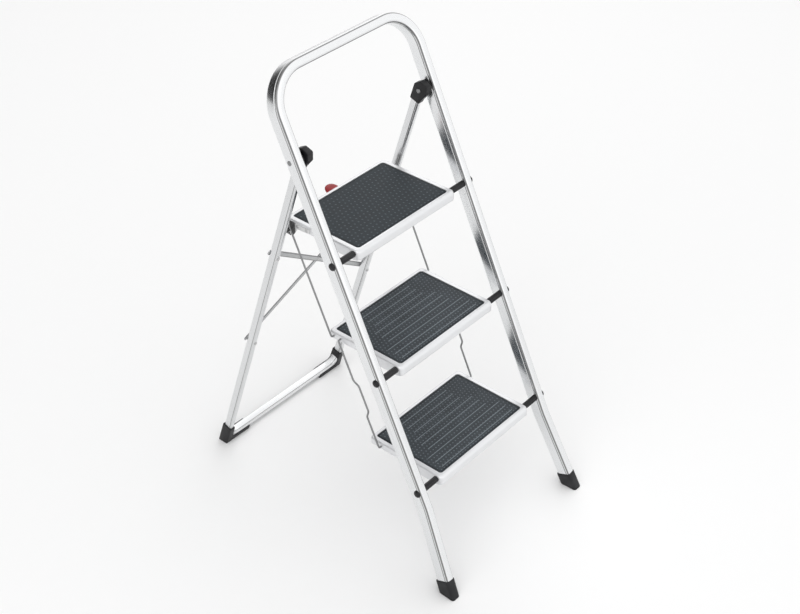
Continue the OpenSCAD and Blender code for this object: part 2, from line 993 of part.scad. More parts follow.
safety_bow();
front_foot_left();
front_foot_right();
rear_frame();
rear_foot_left();
rear_foot_right();
hinge_head_left();
hinge_head_right();
hinge_spacer_left();
hinge_spacer_right();
hinge_rivets();
brace_a();
brace_b();
brace_rivets();
brace_washers();
support_bar();
top_step();
middle_step();
bottom_step();
top_mat();
middle_mat();
bottom_mat();
top_spacer_left();
top_spacer_right();
middle_spacer_left();
middle_spacer_right();
bottom_spacer_left();
bottom_spacer_right();
step_bolts();
bolt_caps();
upper_rod_left();
upper_rod_right();
lower_rod_left();
lower_rod_right();
platform_hook_left();
platform_hook_right();
hook_rivets();
safety_catch();
catch_pin();
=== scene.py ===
import logging
import math
from dataclasses import dataclass, field
from enum import Enum
from typing import Callable, Iterable, Optional, Sequence, Union

import bpy
import numpy as np
from mathutils import Matrix


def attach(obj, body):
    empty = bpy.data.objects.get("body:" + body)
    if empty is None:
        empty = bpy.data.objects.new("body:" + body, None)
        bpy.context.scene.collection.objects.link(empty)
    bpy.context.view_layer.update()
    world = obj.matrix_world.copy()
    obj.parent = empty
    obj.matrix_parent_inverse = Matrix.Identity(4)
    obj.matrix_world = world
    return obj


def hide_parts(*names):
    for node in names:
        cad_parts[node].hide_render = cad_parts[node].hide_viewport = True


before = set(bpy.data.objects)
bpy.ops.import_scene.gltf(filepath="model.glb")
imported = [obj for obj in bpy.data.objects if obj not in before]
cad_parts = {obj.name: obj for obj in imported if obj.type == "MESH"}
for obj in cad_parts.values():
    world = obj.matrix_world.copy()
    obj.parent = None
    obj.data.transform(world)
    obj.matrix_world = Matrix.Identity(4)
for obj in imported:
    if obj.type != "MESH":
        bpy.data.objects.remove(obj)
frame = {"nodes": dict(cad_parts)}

LOG = logging.getLogger("stool")
MM = 0.001  # metres in a millimetre
SEAT = 0.03  # play between parts that touch, in millimetres
Array = np.ndarray
Mesh = tuple[Array, list[tuple[int, ...]]]
Place = Callable[[Array, Array], Array]


# ---------------------------------------------------------------- sizes
@dataclass(frozen=True)
class Layout:
    """Sizes of the stool in millimetres, the same ones the CAD model is built from."""

    depth: float = 732.0
    pitch: float = 230.0
    first_z: float = 220.7
    bow_lean: float = 24.74
    bow_width: float = 413.0
    bow_length: float = 892.6
    stile_w: float = 20.0
    stile_d: float = 33.0
    stile_back: float = 7.0
    rear_lean: float = 18.42
    rear_s: float = 719.6
    rear_b: float = 12.0
    rear_w: float = 11.0
    rear_d: float = 21.0
    rear_top: float = 170.0
    rear_floor: float = 185.0
    rear_back: float = 3.0
    rear_bend: float = 34.0
    brace_top: float = -281.0
    brace_low: float = -551.0
    pan_half: float = 146.5
    upper_hole: float = 168.5
    lower_hole: float = 150.0
    bar_drop: float = 18.0
    bar_z: float = 13.5

    @property
    def lean(self) -> float:
        """Returns: the bow's lean in radians."""
        return math.radians(self.bow_lean)

    @property
    def rear(self) -> float:
        """Returns: the rear frame's lean in radians."""
        return math.radians(self.rear_lean)

    @property
    def pivot_y0(self) -> float:
        """Returns: the lowest pivot's place along Y, behind the front of the feet."""
        toe = math.sin(self.lean) * self.first_z - (self.stile_back - self.stile_d / 2 - 1.2)
        return -self.depth / 2 + toe / math.cos(self.lean)

    @property
    def inner_x(self) -> float:
        """Returns: half the clear width between the stiles."""
        return self.bow_width / 2 - self.stile_w

    @property
    def rear_pivot(self) -> tuple[float, float]:
        """Returns: (y, z) of the rear frame's pivot."""
        sn, cs = math.sin(self.lean), math.cos(self.lean)
        return (self.pivot_y0 + self.rear_s * sn + self.rear_b * cs,
                self.first_z + self.rear_s * cs - self.rear_b * sn)

    @property
    def rear_splay(self) -> float:
        """Returns: the outward slope of the rear legs in radians."""
        return math.atan((self.rear_floor - self.rear_top) * math.cos(self.rear) / self.rear_pivot[1])

    @property
    def bar_u(self) -> float:
        """Returns: the rear floor bar's place down the rear frame."""
        return (self.bar_z - self.rear_pivot[1] - self.rear_back * math.sin(self.rear)) / math.cos(self.rear)

    def leg_x(self, u: float) -> float:
        """Half spacing of the rear legs.

        Args:
            u: place along the leg, 0 at the pivot and negative downwards.

        Returns:
            half the spacing in millimetres.
        """
        return self.rear_top - u * math.tan(self.rear_splay)

    def step(self, index: int) -> tuple[float, float]:
        """Pivot of a tread.

        Args:
            index: 0 for the lowest tread, 2 for the platform.

        Returns:
            its (y, z).
        """
        return (self.pivot_y0 + index * self.pitch * math.tan(self.lean), self.first_z + index * self.pitch)

    def on_bow(self, x: Array, s: Array, b: Array) -> Array:
        """Points of the bow's plane: s runs up the stile, b to the rear of it.

        Args:
            x: sideways places.
            s: places along the stile above the lowest pivot.
            b: places behind the line of pivots.

        Returns:
            an (n, 3) array in millimetres.
        """
        sn, cs = math.sin(self.lean), math.cos(self.lean)
        x, s, b = np.broadcast_arrays(x, s, b)
        return np.stack([x, self.pivot_y0 + b * cs + s * sn, self.first_z - b * sn + s * cs], -1)

    def on_rear(self, x: Array, u: Array, c: Array) -> Array:
        """Points of the rear frame's plane: u runs up the leg, c to the rear of it.

        Args:
            x: sideways places.
            u: places along the leg, negative below the pivot.
            c: places behind the pivot.

        Returns:
            an (n, 3) array in millimetres.
        """
        sn, cs = math.sin(self.rear), math.cos(self.rear)
        x, u, c = np.broadcast_arrays(x, u, c)
        return np.stack([x, self.rear_pivot[0] + c * cs - u * sn, self.rear_pivot[1] + c * sn + u * cs], -1)


class Side(Enum):
    """Which side of the stool a piece is on."""

    LEFT = -1
    RIGHT = 1

    @property
    def word(self) -> str:
        """Returns: the side's name in lower case."""
        return self.name.lower()


class Level(Enum):
    """Which tread a piece belongs to."""

    BOTTOM = 0
    MIDDLE = 1
    TOP = 2

    @property
    def body(self) -> str:
        """Returns: the name of the tread's body."""
        return f"{self.name.lower()}_step"


class Role(Enum):
    """Whether a light acts as key, fill or rim."""

    KEY = "key"
    FILL = "fill"
    RIM = "rim"


# ---------------------------------------------------------------- surfaces
def rounded_rect(width: float, depth: float, radius: float, arc: int = 6, side: int = 2) -> Array:
    """Outline of a rectangle whose corners are quarter circles, run anticlockwise.

    Args:
        width: size along the first axis.
        depth: size along the second axis.
        radius: corner radius.
        arc: points on each corner.
        side: points added inside each straight side.

    Returns:
        an (n, 2) array.
    """
    out: list[Array] = []
    signs = ((1, 1), (-1, 1), (-1, -1), (1, -1))
    for k, (sx, sy) in enumerate(signs):
        a = np.radians(90 * k + np.linspace(0, 90, arc))
        centre = np.array([sx * (width / 2 - radius), sy * (depth / 2 - radius)])
        out.append(centre + radius * np.stack([np.cos(a), np.sin(a)], -1))
    loop: list[Array] = []
    for k in range(4):
        a, b = out[k], out[(k + 1) % 4]
        loop.append(a)
        t = np.linspace(0, 1, side + 2)[1:-1, None]
        loop.append(a[-1] * (1 - t) + b[0] * t)
    return np.concatenate(loop)


def fillet(corners: Sequence[Sequence[float]], radius: Union[float, Sequence[float]], arc: int = 7,
           share: float = 0.48) -> Array:
    """Outline of a polygon with each corner replaced by the arc tangent to both its sides.

    Args:
        corners: the polygon's corners in order.
        radius: the arcs' radius, one for all or one for each corner.
        arc: points on each arc.
        share: how much of a side one arc may take up.

    Returns:
        an (n, 2) array.
    """
    p = np.array(corners, float)
    radii = np.broadcast_to(np.array(radius, float), (len(p),))
    out = []
    for k, q in enumerate(p):
        a, b = p[k - 1] - q, p[(k + 1) % len(p)] - q
        la, lb = np.linalg.norm(a), np.linalg.norm(b)
        a, b = a / la, b / lb
        half = math.acos(float(np.clip(a @ b, -1, 1))) / 2
        cut = min(radii[k] / math.tan(half), share * la, share * lb)
        r = cut * math.tan(half)
        middle = (a + b) / np.linalg.norm(a + b) * (r / math.sin(half))
        start, end = a * cut - middle, b * cut - middle
        t0, t1 = math.atan2(start[1], start[0]), math.atan2(end[1], end[0])
        sweep_angle = (t1 - t0 + math.pi) % (2 * math.pi) - math.pi
        t = t0 + sweep_angle * np.linspace(0, 1, arc)
        out.append(q + middle + r * np.stack([np.cos(t), np.sin(t)], -1))
    return np.concatenate(out)


def grooved(w: float, d: float, depth: float, behind: float, half: float, radius: float) -> Array:
    """Rounded tube section with a V groove in each side near the front.

    Args:
        w: half width.
        d: half depth.
        depth: depth of the groove.
        behind: distance of the groove behind the front face.
        half: half the groove's width.
        radius: corner radius.

    Returns:
        (n, 2) places (outward, to the rear).
    """
    at = behind - d
    front = min(radius, behind - half - 0.3)
    return fillet([(w, -d), (w, at - half), (w - depth, at), (w, at + half), (w, d),
                   (-w, d), (-w, at + half), (-w + depth, at), (-w, at - half), (-w, -d)],
                  (front, 0.1, 0.1, 0.1, radius, radius, 0.1, 0.1, 0.1, front), 5, 0.94)


def carried(line: Array, section: Array, half_width: float, back: float,
            place: Callable[[Array, Array, Array], Array]) -> tuple[list[Array], Array]:
    """Section carried along a line in a leaning plane, its first axis along the line's outward normal.

    Args:
        line: (n, 2) places in the plane.
        section: (m, 2) places (outward, to the rear).
        half_width: half the tube's width, from which its grooves are told.
        back: how far the line lies behind the plane.
        place: turns (x, along, behind) into row-frame points.

    Returns:
        a ring for each place, and the rings' flattened coordinates.
    """
    tangent = np.gradient(line, axis=0)
    tangent /= np.linalg.norm(tangent, axis=1, keepdims=True)
    outward = np.stack([-tangent[:, 1], tangent[:, 0]], -1)
    length = np.concatenate([[0], np.cumsum(np.linalg.norm(np.diff(line, axis=0), axis=1))])
    around = np.concatenate([[0], np.cumsum(np.linalg.norm(np.diff(section, axis=0), axis=1))])
    sunk = groove_share(section, half_width)
    rings, local = [], []
    for p, n, s in zip(line, outward, length):
        flat = p + section[:, :1] * n
        rings.append(place(flat[:, 0], flat[:, 1], back + section[:, 1]))
        local.append(np.stack([around, np.full(len(around), s), sunk], -1))
    return rings, np.concatenate(local)


def signed_area(loop: Array) -> float:
    """Half the sum of the cross products of neighbouring points.

    Args:
        loop: an outline, (n, 2).

    Returns:
        its area, positive when it runs anticlockwise.
    """
    after = np.roll(loop, -1, 0)
    return float((loop[:, 0] * after[:, 1] - loop[:, 1] * after[:, 0]).sum() / 2)


def groove_share(section: Array, w: float) -> Array:
    """How deep each point of a grooved section lies, as |x| below w where the side would be flat.

    Args:
        section: the section, (n, 2).
        w: half width of the tube.

    Returns:
        1 at the groove's bottom and 0 on the flats.
    """
    d = np.abs(section[:, 1]).max()
    side = (np.abs(section[:, 0]) > w - 2.2) & (section[:, 1] > -d + 1.2) & (section[:, 1] < 0)
    return np.where(side, np.clip((w - np.abs(section[:, 0])) / 0.8, 0, 1), 0.0)


def outline_normals(loop: Array) -> Array:
    """Outward unit normals of a closed anticlockwise outline, from the chord through each point's neighbours.

    Args:
        loop: the outline, (n, 2).

    Returns:
        the normals, (n, 2).
    """
    keep = np.roll(loop, -1, 0) - np.roll(loop, 1, 0)
    n = np.stack([keep[:, 1], -keep[:, 0]], -1)
    return n / np.maximum(np.linalg.norm(n, axis=1, keepdims=True), 1e-9)


def loft(rings: Sequence[Array], closed: bool = False) -> Mesh:
    """Skin over rings of equal length: point j of each ring joins point j of the next, with capped ends.

    Args:
        rings: (n, 3) arrays in order.
        closed: whether the last ring joins the first instead of being capped.

    Returns:
        vertices and faces.
    """
    stack = np.stack(rings)
    m, n = stack.shape[:2]
    index = np.arange(m * n).reshape(m, n)
    rows = index if not closed else np.vstack([index, index[:1]])
    a, b = rows[:-1], rows[1:]
    quads = np.stack([a, np.roll(a, -1, 1), np.roll(b, -1, 1), b], -1).reshape(-1, 4)
    faces = [tuple(int(i) for i in q) for q in quads]
    if not closed:
        faces.append(tuple(int(i) for i in index[0][::-1]))
        faces.append(tuple(int(i) for i in index[-1]))
    return stack.reshape(-1, 3), faces


def join(parts: Iterable[Mesh]) -> Mesh:
    """Several closed surfaces in one mesh.

    Args:
        parts: (vertices, faces) pairs.

    Returns:
        vertices and faces of them all.
    """
    verts, faces, base = [], [], 0
    for v, f in parts:
        verts.append(v)
        faces += [tuple(i + base for i in face) for face in f]
        base += len(v)
    return np.concatenate(verts), faces


def signed_volume(verts: Array, faces: Sequence[Sequence[int]]) -> float:
    """Sum over a fan of triangles of each face of a . (b x c) / 6.

    Args:
        verts: the vertices.
        faces: the faces.

    Returns:
        the enclosed volume, positive when faces point outward.
    """
    tri = np.array([(f[0], f[i], f[i + 1]) for f in faces for i in range(1, len(f) - 1)])
    a, b, c = verts[tri[:, 0]], verts[tri[:, 1]], verts[tri[:, 2]]
    return float(np.einsum("ij,ij->", a, np.cross(b, c)) / 6)


def tube(path: Array, radius: float, sides: int = 20) -> Mesh:
    """Round wire with domed ends: a circle carried along a path, turning as little as it can on the way.

    Args:
        path: the centre line, (m, 3).
        radius: the wire's radius.
        sides: points on the circle.

    Returns:
        vertices and faces.
    """
    tangent = np.gradient(path, axis=0)
    tangent /= np.linalg.norm(tangent, axis=1, keepdims=True)
    guide = np.array([0.0, 0.0, 1.0]) if abs(tangent[0][2]) < 0.9 else np.array([0.0, 1.0, 0.0])
    u = np.cross(tangent[0], guide)
    u /= np.linalg.norm(u)
    t = np.linspace(0, 2 * math.pi, sides, endpoint=False)[:, None]
    rings, last = [], len(path) - 1
    for k, (p, d) in enumerate(zip(path, tangent)):
        u = u - d * (u @ d)
        u /= np.linalg.norm(u)
        v = np.cross(d, u)
        circle = np.cos(t) * u + np.sin(t) * v
        way = 1 if k == 0 else -1 if k == last else 0
        reach = way * d * radius * 0.35
        dome = [p + reach * (1 - math.cos(a)) + circle * radius * (0.55 + 0.45 * math.sin(a))
                for a in (0.0, 0.7)]
        body = [p + circle * radius + reach]
        rings += dome + body if k == 0 else body + dome[::-1] if k == last else body
    return loft(rings)


def turned(profile: Sequence[tuple[float, float]], axis_at: Array, direction: float, sides: int = 48,
           ridge: Optional[Callable[[Array], Array]] = None) -> Mesh:
    """Body turned about an axis along X: each profile point (x, r) sweeps a circle, with ridge(angle) added.

    Args:
        profile: (x, r) pairs, from one end to the other.
        axis_at: (y, z) of the axis.
        direction: 1 or -1, the way x grows.
        sides: points on each circle.
        ridge: radial height of lengthwise ridges at an angle, or None.

    Returns:
        vertices and faces.
    """
    a = np.linspace(0, 2 * math.pi, sides, endpoint=False)
    extra = ridge(a) if ridge is not None else 0 * a
    rings = []
    for x, r in profile:
        rr = r + (extra if r > 5.5 else 0 * a)
        y, z = axis_at[0] + rr * np.cos(a), axis_at[1] + rr * np.sin(a)
        rings.append(np.stack([np.full(sides, direction * x), y, z], -1))
    return loft(rings)


def slab(loop: Array, low: float, high: float, edge: float, place: Place,
         steps: int = 4) -> Mesh:
    """Plate with rounded edges: drawn in by edge*(1-sin a) where it is edge*(1-cos a) from a face.

    Args:
        loop: the plate's outline, (n, 2).
        low: height of its lower face.
        high: height of its upper face.
        edge: radius of the rounded edge.
        place: turns outline points and heights into row-frame points.
        steps: rings on each rounded edge.

    Returns:
        vertices and faces.
    """
    n = outline_normals(loop)
    angle = np.linspace(0, math.pi / 2, steps)
    rings = []
    for base, way, turns in ((low, 1, angle), (high, -1, angle[::-1])):
        for a in turns:
            height = base + way * edge * (1 - math.cos(a))
            rings.append(place(loop - n * edge * (1 - math.sin(a)), np.full(len(loop), height)))
    return loft(rings)


# ---------------------------------------------------------------- shader maths
@dataclass
class Value:
    """A float, vector or colour socket in a node tree, with arithmetic."""

    graph: "Graph"
    socket: bpy.types.NodeSocket

    def __add__(self, other: "Operand") -> "Value":
        """Returns: self + other."""
        return self.graph.math("ADD", self, other)

    def __radd__(self, other: "Operand") -> "Value":
        """Returns: other + self."""
        return self.graph.math("ADD", other, self)

    def __sub__(self, other: "Operand") -> "Value":
        """Returns: self - other."""
        return self.graph.math("SUBTRACT", self, other)

    def __rsub__(self, other: "Operand") -> "Value":
        """Returns: other - self."""
        return self.graph.math("SUBTRACT", other, self)

    def __mul__(self, other: "Operand") -> "Value":
        """Returns: self * other."""
        return self.graph.math("MULTIPLY", self, other)

    def __rmul__(self, other: "Operand") -> "Value":
        """Returns: other * self."""
        return self.graph.math("MULTIPLY", other, self)

    def __truediv__(self, other: "Operand") -> "Value":
        """Returns: self / other."""
        return self.graph.math("DIVIDE", self, other)

    def __rtruediv__(self, other: "Operand") -> "Value":
        """Returns: other / self."""
        return self.graph.math("DIVIDE", other, self)

    def __pow__(self, other: "Operand") -> "Value":
        """Returns: self ** other."""
        return self.graph.math("POWER", self, other)

    def __rpow__(self, other: "Operand") -> "Value":
        """Returns: other ** self."""
        return self.graph.math("POWER", other, self)

    def __neg__(self) -> "Value":
        """Returns: -self."""
        return self.graph.math("MULTIPLY", self, -1.0)


Operand = Union[Value, float]
Tint = Union[Value, Sequence[float]]


@dataclass
class Graph:
    """A material's node tree and the surface node at its end."""

    material: bpy.types.Material
    surface: bpy.types.Node = field(init=False)

    def __post_init__(self) -> None:
        """Empties the tree and adds the surface and output nodes."""
        self.material.use_nodes = True
        self.material.node_tree.nodes.clear()
        self.surface = self.node("ShaderNodeBsdfPrincipled")
        self.node("ShaderNodeOutputMaterial", inputs={"Surface": self.surface.outputs[0]})

    def node(self, kind: str, settings: Optional[dict] = None,
             inputs: Optional[dict] = None) -> bpy.types.Node:
        """Adds a node.

        Args:
            kind: its type name.
            settings: properties to set on it.
            inputs: values or sockets for its inputs, by name or index.

        Returns:
            the node.
        """
        made = self.material.node_tree.nodes.new(kind)
        for key, value in (settings or {}).items():
            setattr(made, key, value)
        for key, value in (inputs or {}).items():
            self.feed(made.inputs[key], value)
        return made

    def feed(self, socket: bpy.types.NodeSocket,
             value: Union[Value, bpy.types.NodeSocket, float, Sequence[float]]) -> None:
        """Links or sets one input.

        Args:
            socket: the input.
            value: a wrapped socket, a socket or a constant.
        """
        if isinstance(value, Value):
            value = value.socket
        if isinstance(value, bpy.types.NodeSocket):
            self.material.node_tree.links.new(value, socket)
        else:
            socket.default_value = value

    def math(self, operation: str, a: Operand, b: Operand = 0.0, clamp: bool = False) -> Value:
        """One scalar operation.

        Args:
            operation: the Math node's operation.
            a: first operand.
            b: second operand.
            clamp: whether to hold the result in 0 to 1.

        Returns:
            the result.
        """
        made = self.node("ShaderNodeMath", {"operation": operation, "use_clamp": clamp}, {0: a, 1: b})
        return Value(self, made.outputs[0])

    def mix(self, factor: Operand, a: Tint, b: Tint) -> Value:
        """Blends two colours.

        Args:
            factor: 0 for a, 1 for b.
            a: first colour.
            b: second colour.

        Returns:
            the blend.
        """
        made = self.node("ShaderNodeMix", {"data_type": "RGBA"}, {0: factor, 6: a, 7: b})
        return Value(self, made.outputs[2])

    def place(self) -> Value:
        """Returns: the object's own coordinates in metres."""
        return Value(self, self.node("ShaderNodeTexCoord").outputs["Object"])

    def local(self) -> Value:
        """Returns: the piece's own flattened coordinates, stored on its mesh in millimetres."""
        made = self.node("ShaderNodeAttribute", {"attribute_name": "local"})
        return Value(self, made.outputs["Vector"])

    def split(self, vector: Value) -> tuple[Value, Value, Value]:
        """Parts of a vector.

        Args:
            vector: the vector.

        Returns:
            its x, y and z.
        """
        made = self.node("ShaderNodeSeparateXYZ", inputs={0: vector})
        return tuple(Value(self, s) for s in made.outputs)

    def stretch(self, vector: Value, scale: Sequence[float]) -> Value:
        """Scales a vector part by part.

        Args:
            vector: the vector.
            scale: three factors.

        Returns:
            the scaled vector.
        """
        made = self.node("ShaderNodeVectorMath", {"operation": "MULTIPLY"}, {0: vector, 1: tuple(scale)})
        return Value(self, made.outputs[0])

    def noise(self, vector: Value, scale: float, detail: float = 3.0, rough: float = 0.55) -> Value:
        """Smooth noise about 0.5.

        Args:
            vector: where to read it.
            scale: features per unit.
            detail: octaves.
            rough: how strong the fine ones are.

        Returns:
            the noise.
        """
        made = self.node("ShaderNodeTexNoise",
                         inputs={"Vector": vector, "Scale": scale, "Detail": detail, "Roughness": rough})
        return Value(self, made.outputs[0])

    def step(self, value: Operand, low: float, high: float) -> Value:
        """Smooth step: 0 below low, 1 above high.

        Args:
            value: what to test.
            low: where it starts.
            high: where it ends.

        Returns:
            the step.
        """
        made = self.node("ShaderNodeMapRange", {"interpolation_type": "SMOOTHSTEP"},
                         {0: value, 1: low, 2: high, 3: 0.0, 4: 1.0})
        return Value(self, made.outputs[0])

    def finish(self, colour: Tint, rough: Operand, metal: float, height: Optional[Value] = None,
               bump: float = 0.1, distance: float = 0.0005, coat: float = 0.0,
               ior: float = 1.5) -> bpy.types.Material:
        """Feeds the surface node.

        Args:
            colour: base colour.
            rough: roughness.
            metal: metallic amount.
            height: bump height, or None.
            bump: bump strength.
            distance: bump depth in metres.
            coat: clear coat weight.
            ior: index of refraction.

        Returns:
            the material.
        """
        put = self.surface.inputs
        self.feed(put["Base Color"], colour)
        self.feed(put["Roughness"], rough)
        put["Metallic"].default_value = metal
        put["Coat Weight"].default_value = coat
        put["Coat Roughness"].default_value = 0.08
        put["IOR"].default_value = ior
        if height is not None:
            made = self.node("ShaderNodeBump",
                             inputs={"Strength": bump, "Distance": distance, "Height": height})
            self.feed(put["Normal"], made.outputs[0])
        return self.material


# ---------------------------------------------------------------- finishes
Colour = tuple[float, float, float, float]


def grey(level: float, warm: float = 0.0) -> Colour:
    """A near-neutral colour.

    Args:
        level: linear brightness.
        warm: positive for warmer, negative for cooler.

    Returns:
        an RGBA colour.
    """
    return (level * (1 + warm), level, level * (1 - warm), 1.0)


@dataclass(frozen=True)
class SatinTube:
    """Anodised extrusion: fine lines along the tube, faint cloudiness, and painted shade darkening the
    grooves.
    """

    name: str
    base: Colour
    dark: Colour
    rough: float = 0.24
    metal: float = 1.0

    def make(self) -> bpy.types.Material:
        """Returns: the material."""
        g = Graph(bpy.data.materials.new(self.name))
        lines = g.noise(g.stretch(g.local(), (2.6, 0.006, 1.0)), 1.0, 4.0)
        cloud = g.noise(g.place(), 7.0, 3.0)
        grain = g.noise(g.place(), 2600.0, 2.0)
        _, _, sunk = g.split(g.local())
        colour = g.mix(lines * 0.55 + cloud * 0.45, self.dark, self.base)
        # painted shade: the groove's bottom is blended towards grey 0.2, standing in for the shade inside it
        colour = g.mix(g.step(sunk, 0.05, 0.8), colour, grey(0.2))
        rough = self.rough + (lines - 0.5) * 0.2 + (cloud - 0.5) * 0.12
        return g.finish(colour, rough, self.metal, lines * 0.7 + grain * 0.3, 0.12, 0.00018)


@dataclass(frozen=True)
class SprayedPan:
    """Pale coating on pressed sheet: slight orange peel, and a fine dark line of painted shade at the bend
    behind the rolled nose.
    """

    name: str
    base: Colour
    dark: Colour
    rough: float = 0.34

    def make(self) -> bpy.types.Material:
        """Returns: the material."""
        g = Graph(bpy.data.materials.new(self.name))
        peel = g.noise(g.place(), 420.0, 3.0)
        cloud = g.noise(g.place(), 9.0, 3.0)
        fleck = g.noise(g.place(), 3200.0, 1.0)
        _, y, z = g.split(g.local())
        up = g.step(z, 7.0, 7.15)
        # painted shade: a thin dark line on top where the lip bends down into the nose; the bump also sinks
        # it a little
        shaded_bend_line = g.step(y + 8.2, -0.75, -0.1) * (1.0 - g.step(y + 8.2, 0.1, 0.75)) * up
        colour = g.mix(cloud * 0.7 + fleck * 0.3, self.dark, self.base)
        colour = g.mix(shaded_bend_line * 0.8, colour, grey(0.1))
        rough = self.rough + (cloud - 0.5) * 0.16 + (peel - 0.5) * 0.1
        return g.finish(colour, rough, 0.45, peel - shaded_bend_line, 0.1, 0.0003, coat=0.25)


@dataclass(frozen=True)
class TreadRubber:
    """Charcoal rubber with rows of raised diamonds painted lighter as highlights and, on a ribbed mat, thin
    ribs across it painted pale as highlights.
    """

    name: str
    base: Colour
    light: Colour
    ribs: bool
    pitch: float = 8.6

    def make(self) -> bpy.types.Material:
        """Returns: the material."""
        g = Graph(bpy.data.materials.new(self.name))
        x, y, _ = g.split(g.local())
        pitch = self.pitch
        row = g.math("FLOOR", y / pitch)
        px = g.math("FRACT", x / pitch + row * 0.5 + 200.0) - 0.5
        py = g.math("FRACT", y / pitch) - 0.5
        near = g.math("ABSOLUTE", px) + g.math("ABSOLUTE", py)
        dots = 1.0 - g.step(near, 0.16, 0.27)
        edge_x = g.step(129.5 - g.math("ABSOLUTE", x), 0.0, 1.2)
        edge_y = g.step(83.5 - g.math("ABSOLUTE", y - 86.5), 0.0, 1.2)
        field_mask = edge_x * edge_y
        relief = dots * field_mask
        wear = g.noise(g.place(), 26.0, 4.0)
        grit = g.noise(g.place(), 1500.0, 2.0)
        # painted highlight: relief * 0.5 lightens the raised diamonds towards the light colour
        shade = relief * 0.5 + field_mask * 0.12 + (wear - 0.5) * 0.25 + grit * 0.1
        if self.ribs:
            rib_at = g.math("FRACT", (y - 9.0) / 18.4) * 18.4
            reach = 118.0 - g.step(y, 58.0, 60.0) * 22.0 - g.step(y, 112.0, 114.0) * 20.0
            rib = g.step(rib_at, 0.0, 0.5) * (1.0 - g.step(rib_at, 1.7, 2.3)) * field_mask
            rib = rib * g.step(reach - g.math("ABSOLUTE", x), 0.0, 1.0)
            # painted highlight: the raised ribs take the full light colour
            shade = shade * (1.0 - rib) + rib * 1.0
            relief = relief * (1.0 - rib) + rib * 1.3
        colour = g.mix(g.math("ADD", shade, 0.0, True), self.base, self.light)
        rough = 0.6 + (wear - 0.5) * 0.2 - relief * 0.1
        return g.finish(colour, rough, 0.0, relief + grit * 0.12, 0.8, 0.0012, ior=1.33)


@dataclass(frozen=True)
class MouldedBlack:
    """Black plastic with spark-eroded grain and faint scuffs."""

    name: str
    base: Colour = (0.006, 0.006, 0.007, 1.0)
    scuff: Colour = (0.024, 0.024, 0.027, 1.0)
    rough: float = 0.42

    def make(self) -> bpy.types.Material:
        """Returns: the material."""
        g = Graph(bpy.data.materials.new(self.name))
        grain = g.noise(g.place(), 1400.0, 2.0)
        cloud = g.noise(g.place(), 34.0, 4.0)
        colour = g.mix(g.step(cloud, 0.46, 0.74) * 0.6 + grain * 0.2, self.base, self.scuff)
        rough = self.rough + (grain - 0.5) * 0.22 + (cloud - 0.5) * 0.2
        return g.finish(colour, rough, 0.0, grain, 0.22, 0.0003, ior=1.38)


@dataclass(frozen=True)
class PlatedSteel:
    """Plated or drawn steel: small speckle and soft tarnish."""

    name: str
    base: Colour
    dark: Colour
    rough: float = 0.3
    metal: float = 0.9
    arm: Optional[Colour] = None

    def make(self) -> bpy.types.Material:
        """Returns: the material."""
        g = Graph(bpy.data.materials.new(self.name))
        speck = g.noise(g.place(), 900.0, 3.0)
        cloud = g.noise(g.place(), 46.0, 3.0)
        colour = g.mix(cloud * 0.6 + speck * 0.4, self.dark, self.base)
        if self.arm is not None:
            _, along, _ = g.split(g.local())
            colour = g.mix(g.step(along, 153.0, 157.0), self.arm, colour)
        rough = self.rough + (speck - 0.5) * 0.2 + (cloud - 0.5) * 0.22
        return g.finish(colour, rough, self.metal, speck, 0.14, 0.0002)


@dataclass(frozen=True)
class PressedStrip:
    """Grey coated flat strip whose rolled edges are painted darker than its middle, as shade."""

    name: str
    base: Colour
    edge: Colour
    half_width: float = 6.0

    def make(self) -> bpy.types.Material:
        """Returns: the material."""
        g = Graph(bpy.data.materials.new(self.name))
        _, across, _ = g.split(g.local())
        shaded_edge_band = g.step(g.math("ABSOLUTE", across), self.half_width * 0.52, self.half_width * 0.78)
        cloud = g.noise(g.place(), 40.0, 3.0)
        peel = g.noise(g.place(), 700.0, 2.0)
        # painted shade: the edge band blends towards the darker edge colour; the bump also lowers it
        colour = g.mix(g.math("ADD", shaded_edge_band * 0.85 + (cloud - 0.5) * 0.3, 0.0, True), self.base, self.edge)
        rough = 0.38 + (cloud - 0.5) * 0.2 + (peel - 0.5) * 0.1
        return g.finish(colour, rough, 0.45, peel * 0.3 - shaded_edge_band, 0.35, 0.0004)


@dataclass(frozen=True)
class GlossRed:
    """Glossy moulded red with a faint flow pattern and a clear skin."""

    name: str
    base: Colour = (0.34, 0.003, 0.005, 1.0)
    dark: Colour = (0.2, 0.001, 0.003, 1.0)

    def make(self) -> bpy.types.Material:
        """Returns: the material."""
        g = Graph(bpy.data.materials.new(self.name))
        flow = g.noise(g.stretch(g.place(), (40.0, 90.0, 40.0)), 1.0, 4.0)
        fine = g.noise(g.place(), 500.0, 2.0)
        colour = g.mix(flow, self.dark, self.base)
        rough = 0.16 + (fine - 0.5) * 0.1
        return g.finish(colour, rough, 0.0, fine, 0.04, 0.0002, coat=0.15, ior=1.36)


@dataclass(frozen=True)
class StudioPaper:
    """White paper sweep under the stool, with a trace of fibre."""

    name: str
    level: float = 0.93

    def make(self) -> bpy.types.Material:
        """Returns: the material."""
        g = Graph(bpy.data.materials.new(self.name))
        fibre = g.noise(g.place(), 30.0, 3.0)
        colour = g.mix(fibre, grey(self.level - 0.006), grey(self.level))
        return g.finish(colour, 0.85, 0.0)


Finish = Union[SatinTube, SprayedPan, TreadRubber, MouldedBlack, PlatedSteel, PressedStrip, GlossRed,
               StudioPaper]
CHARCOAL: Colour = (0.014, 0.018, 0.022, 1.0)


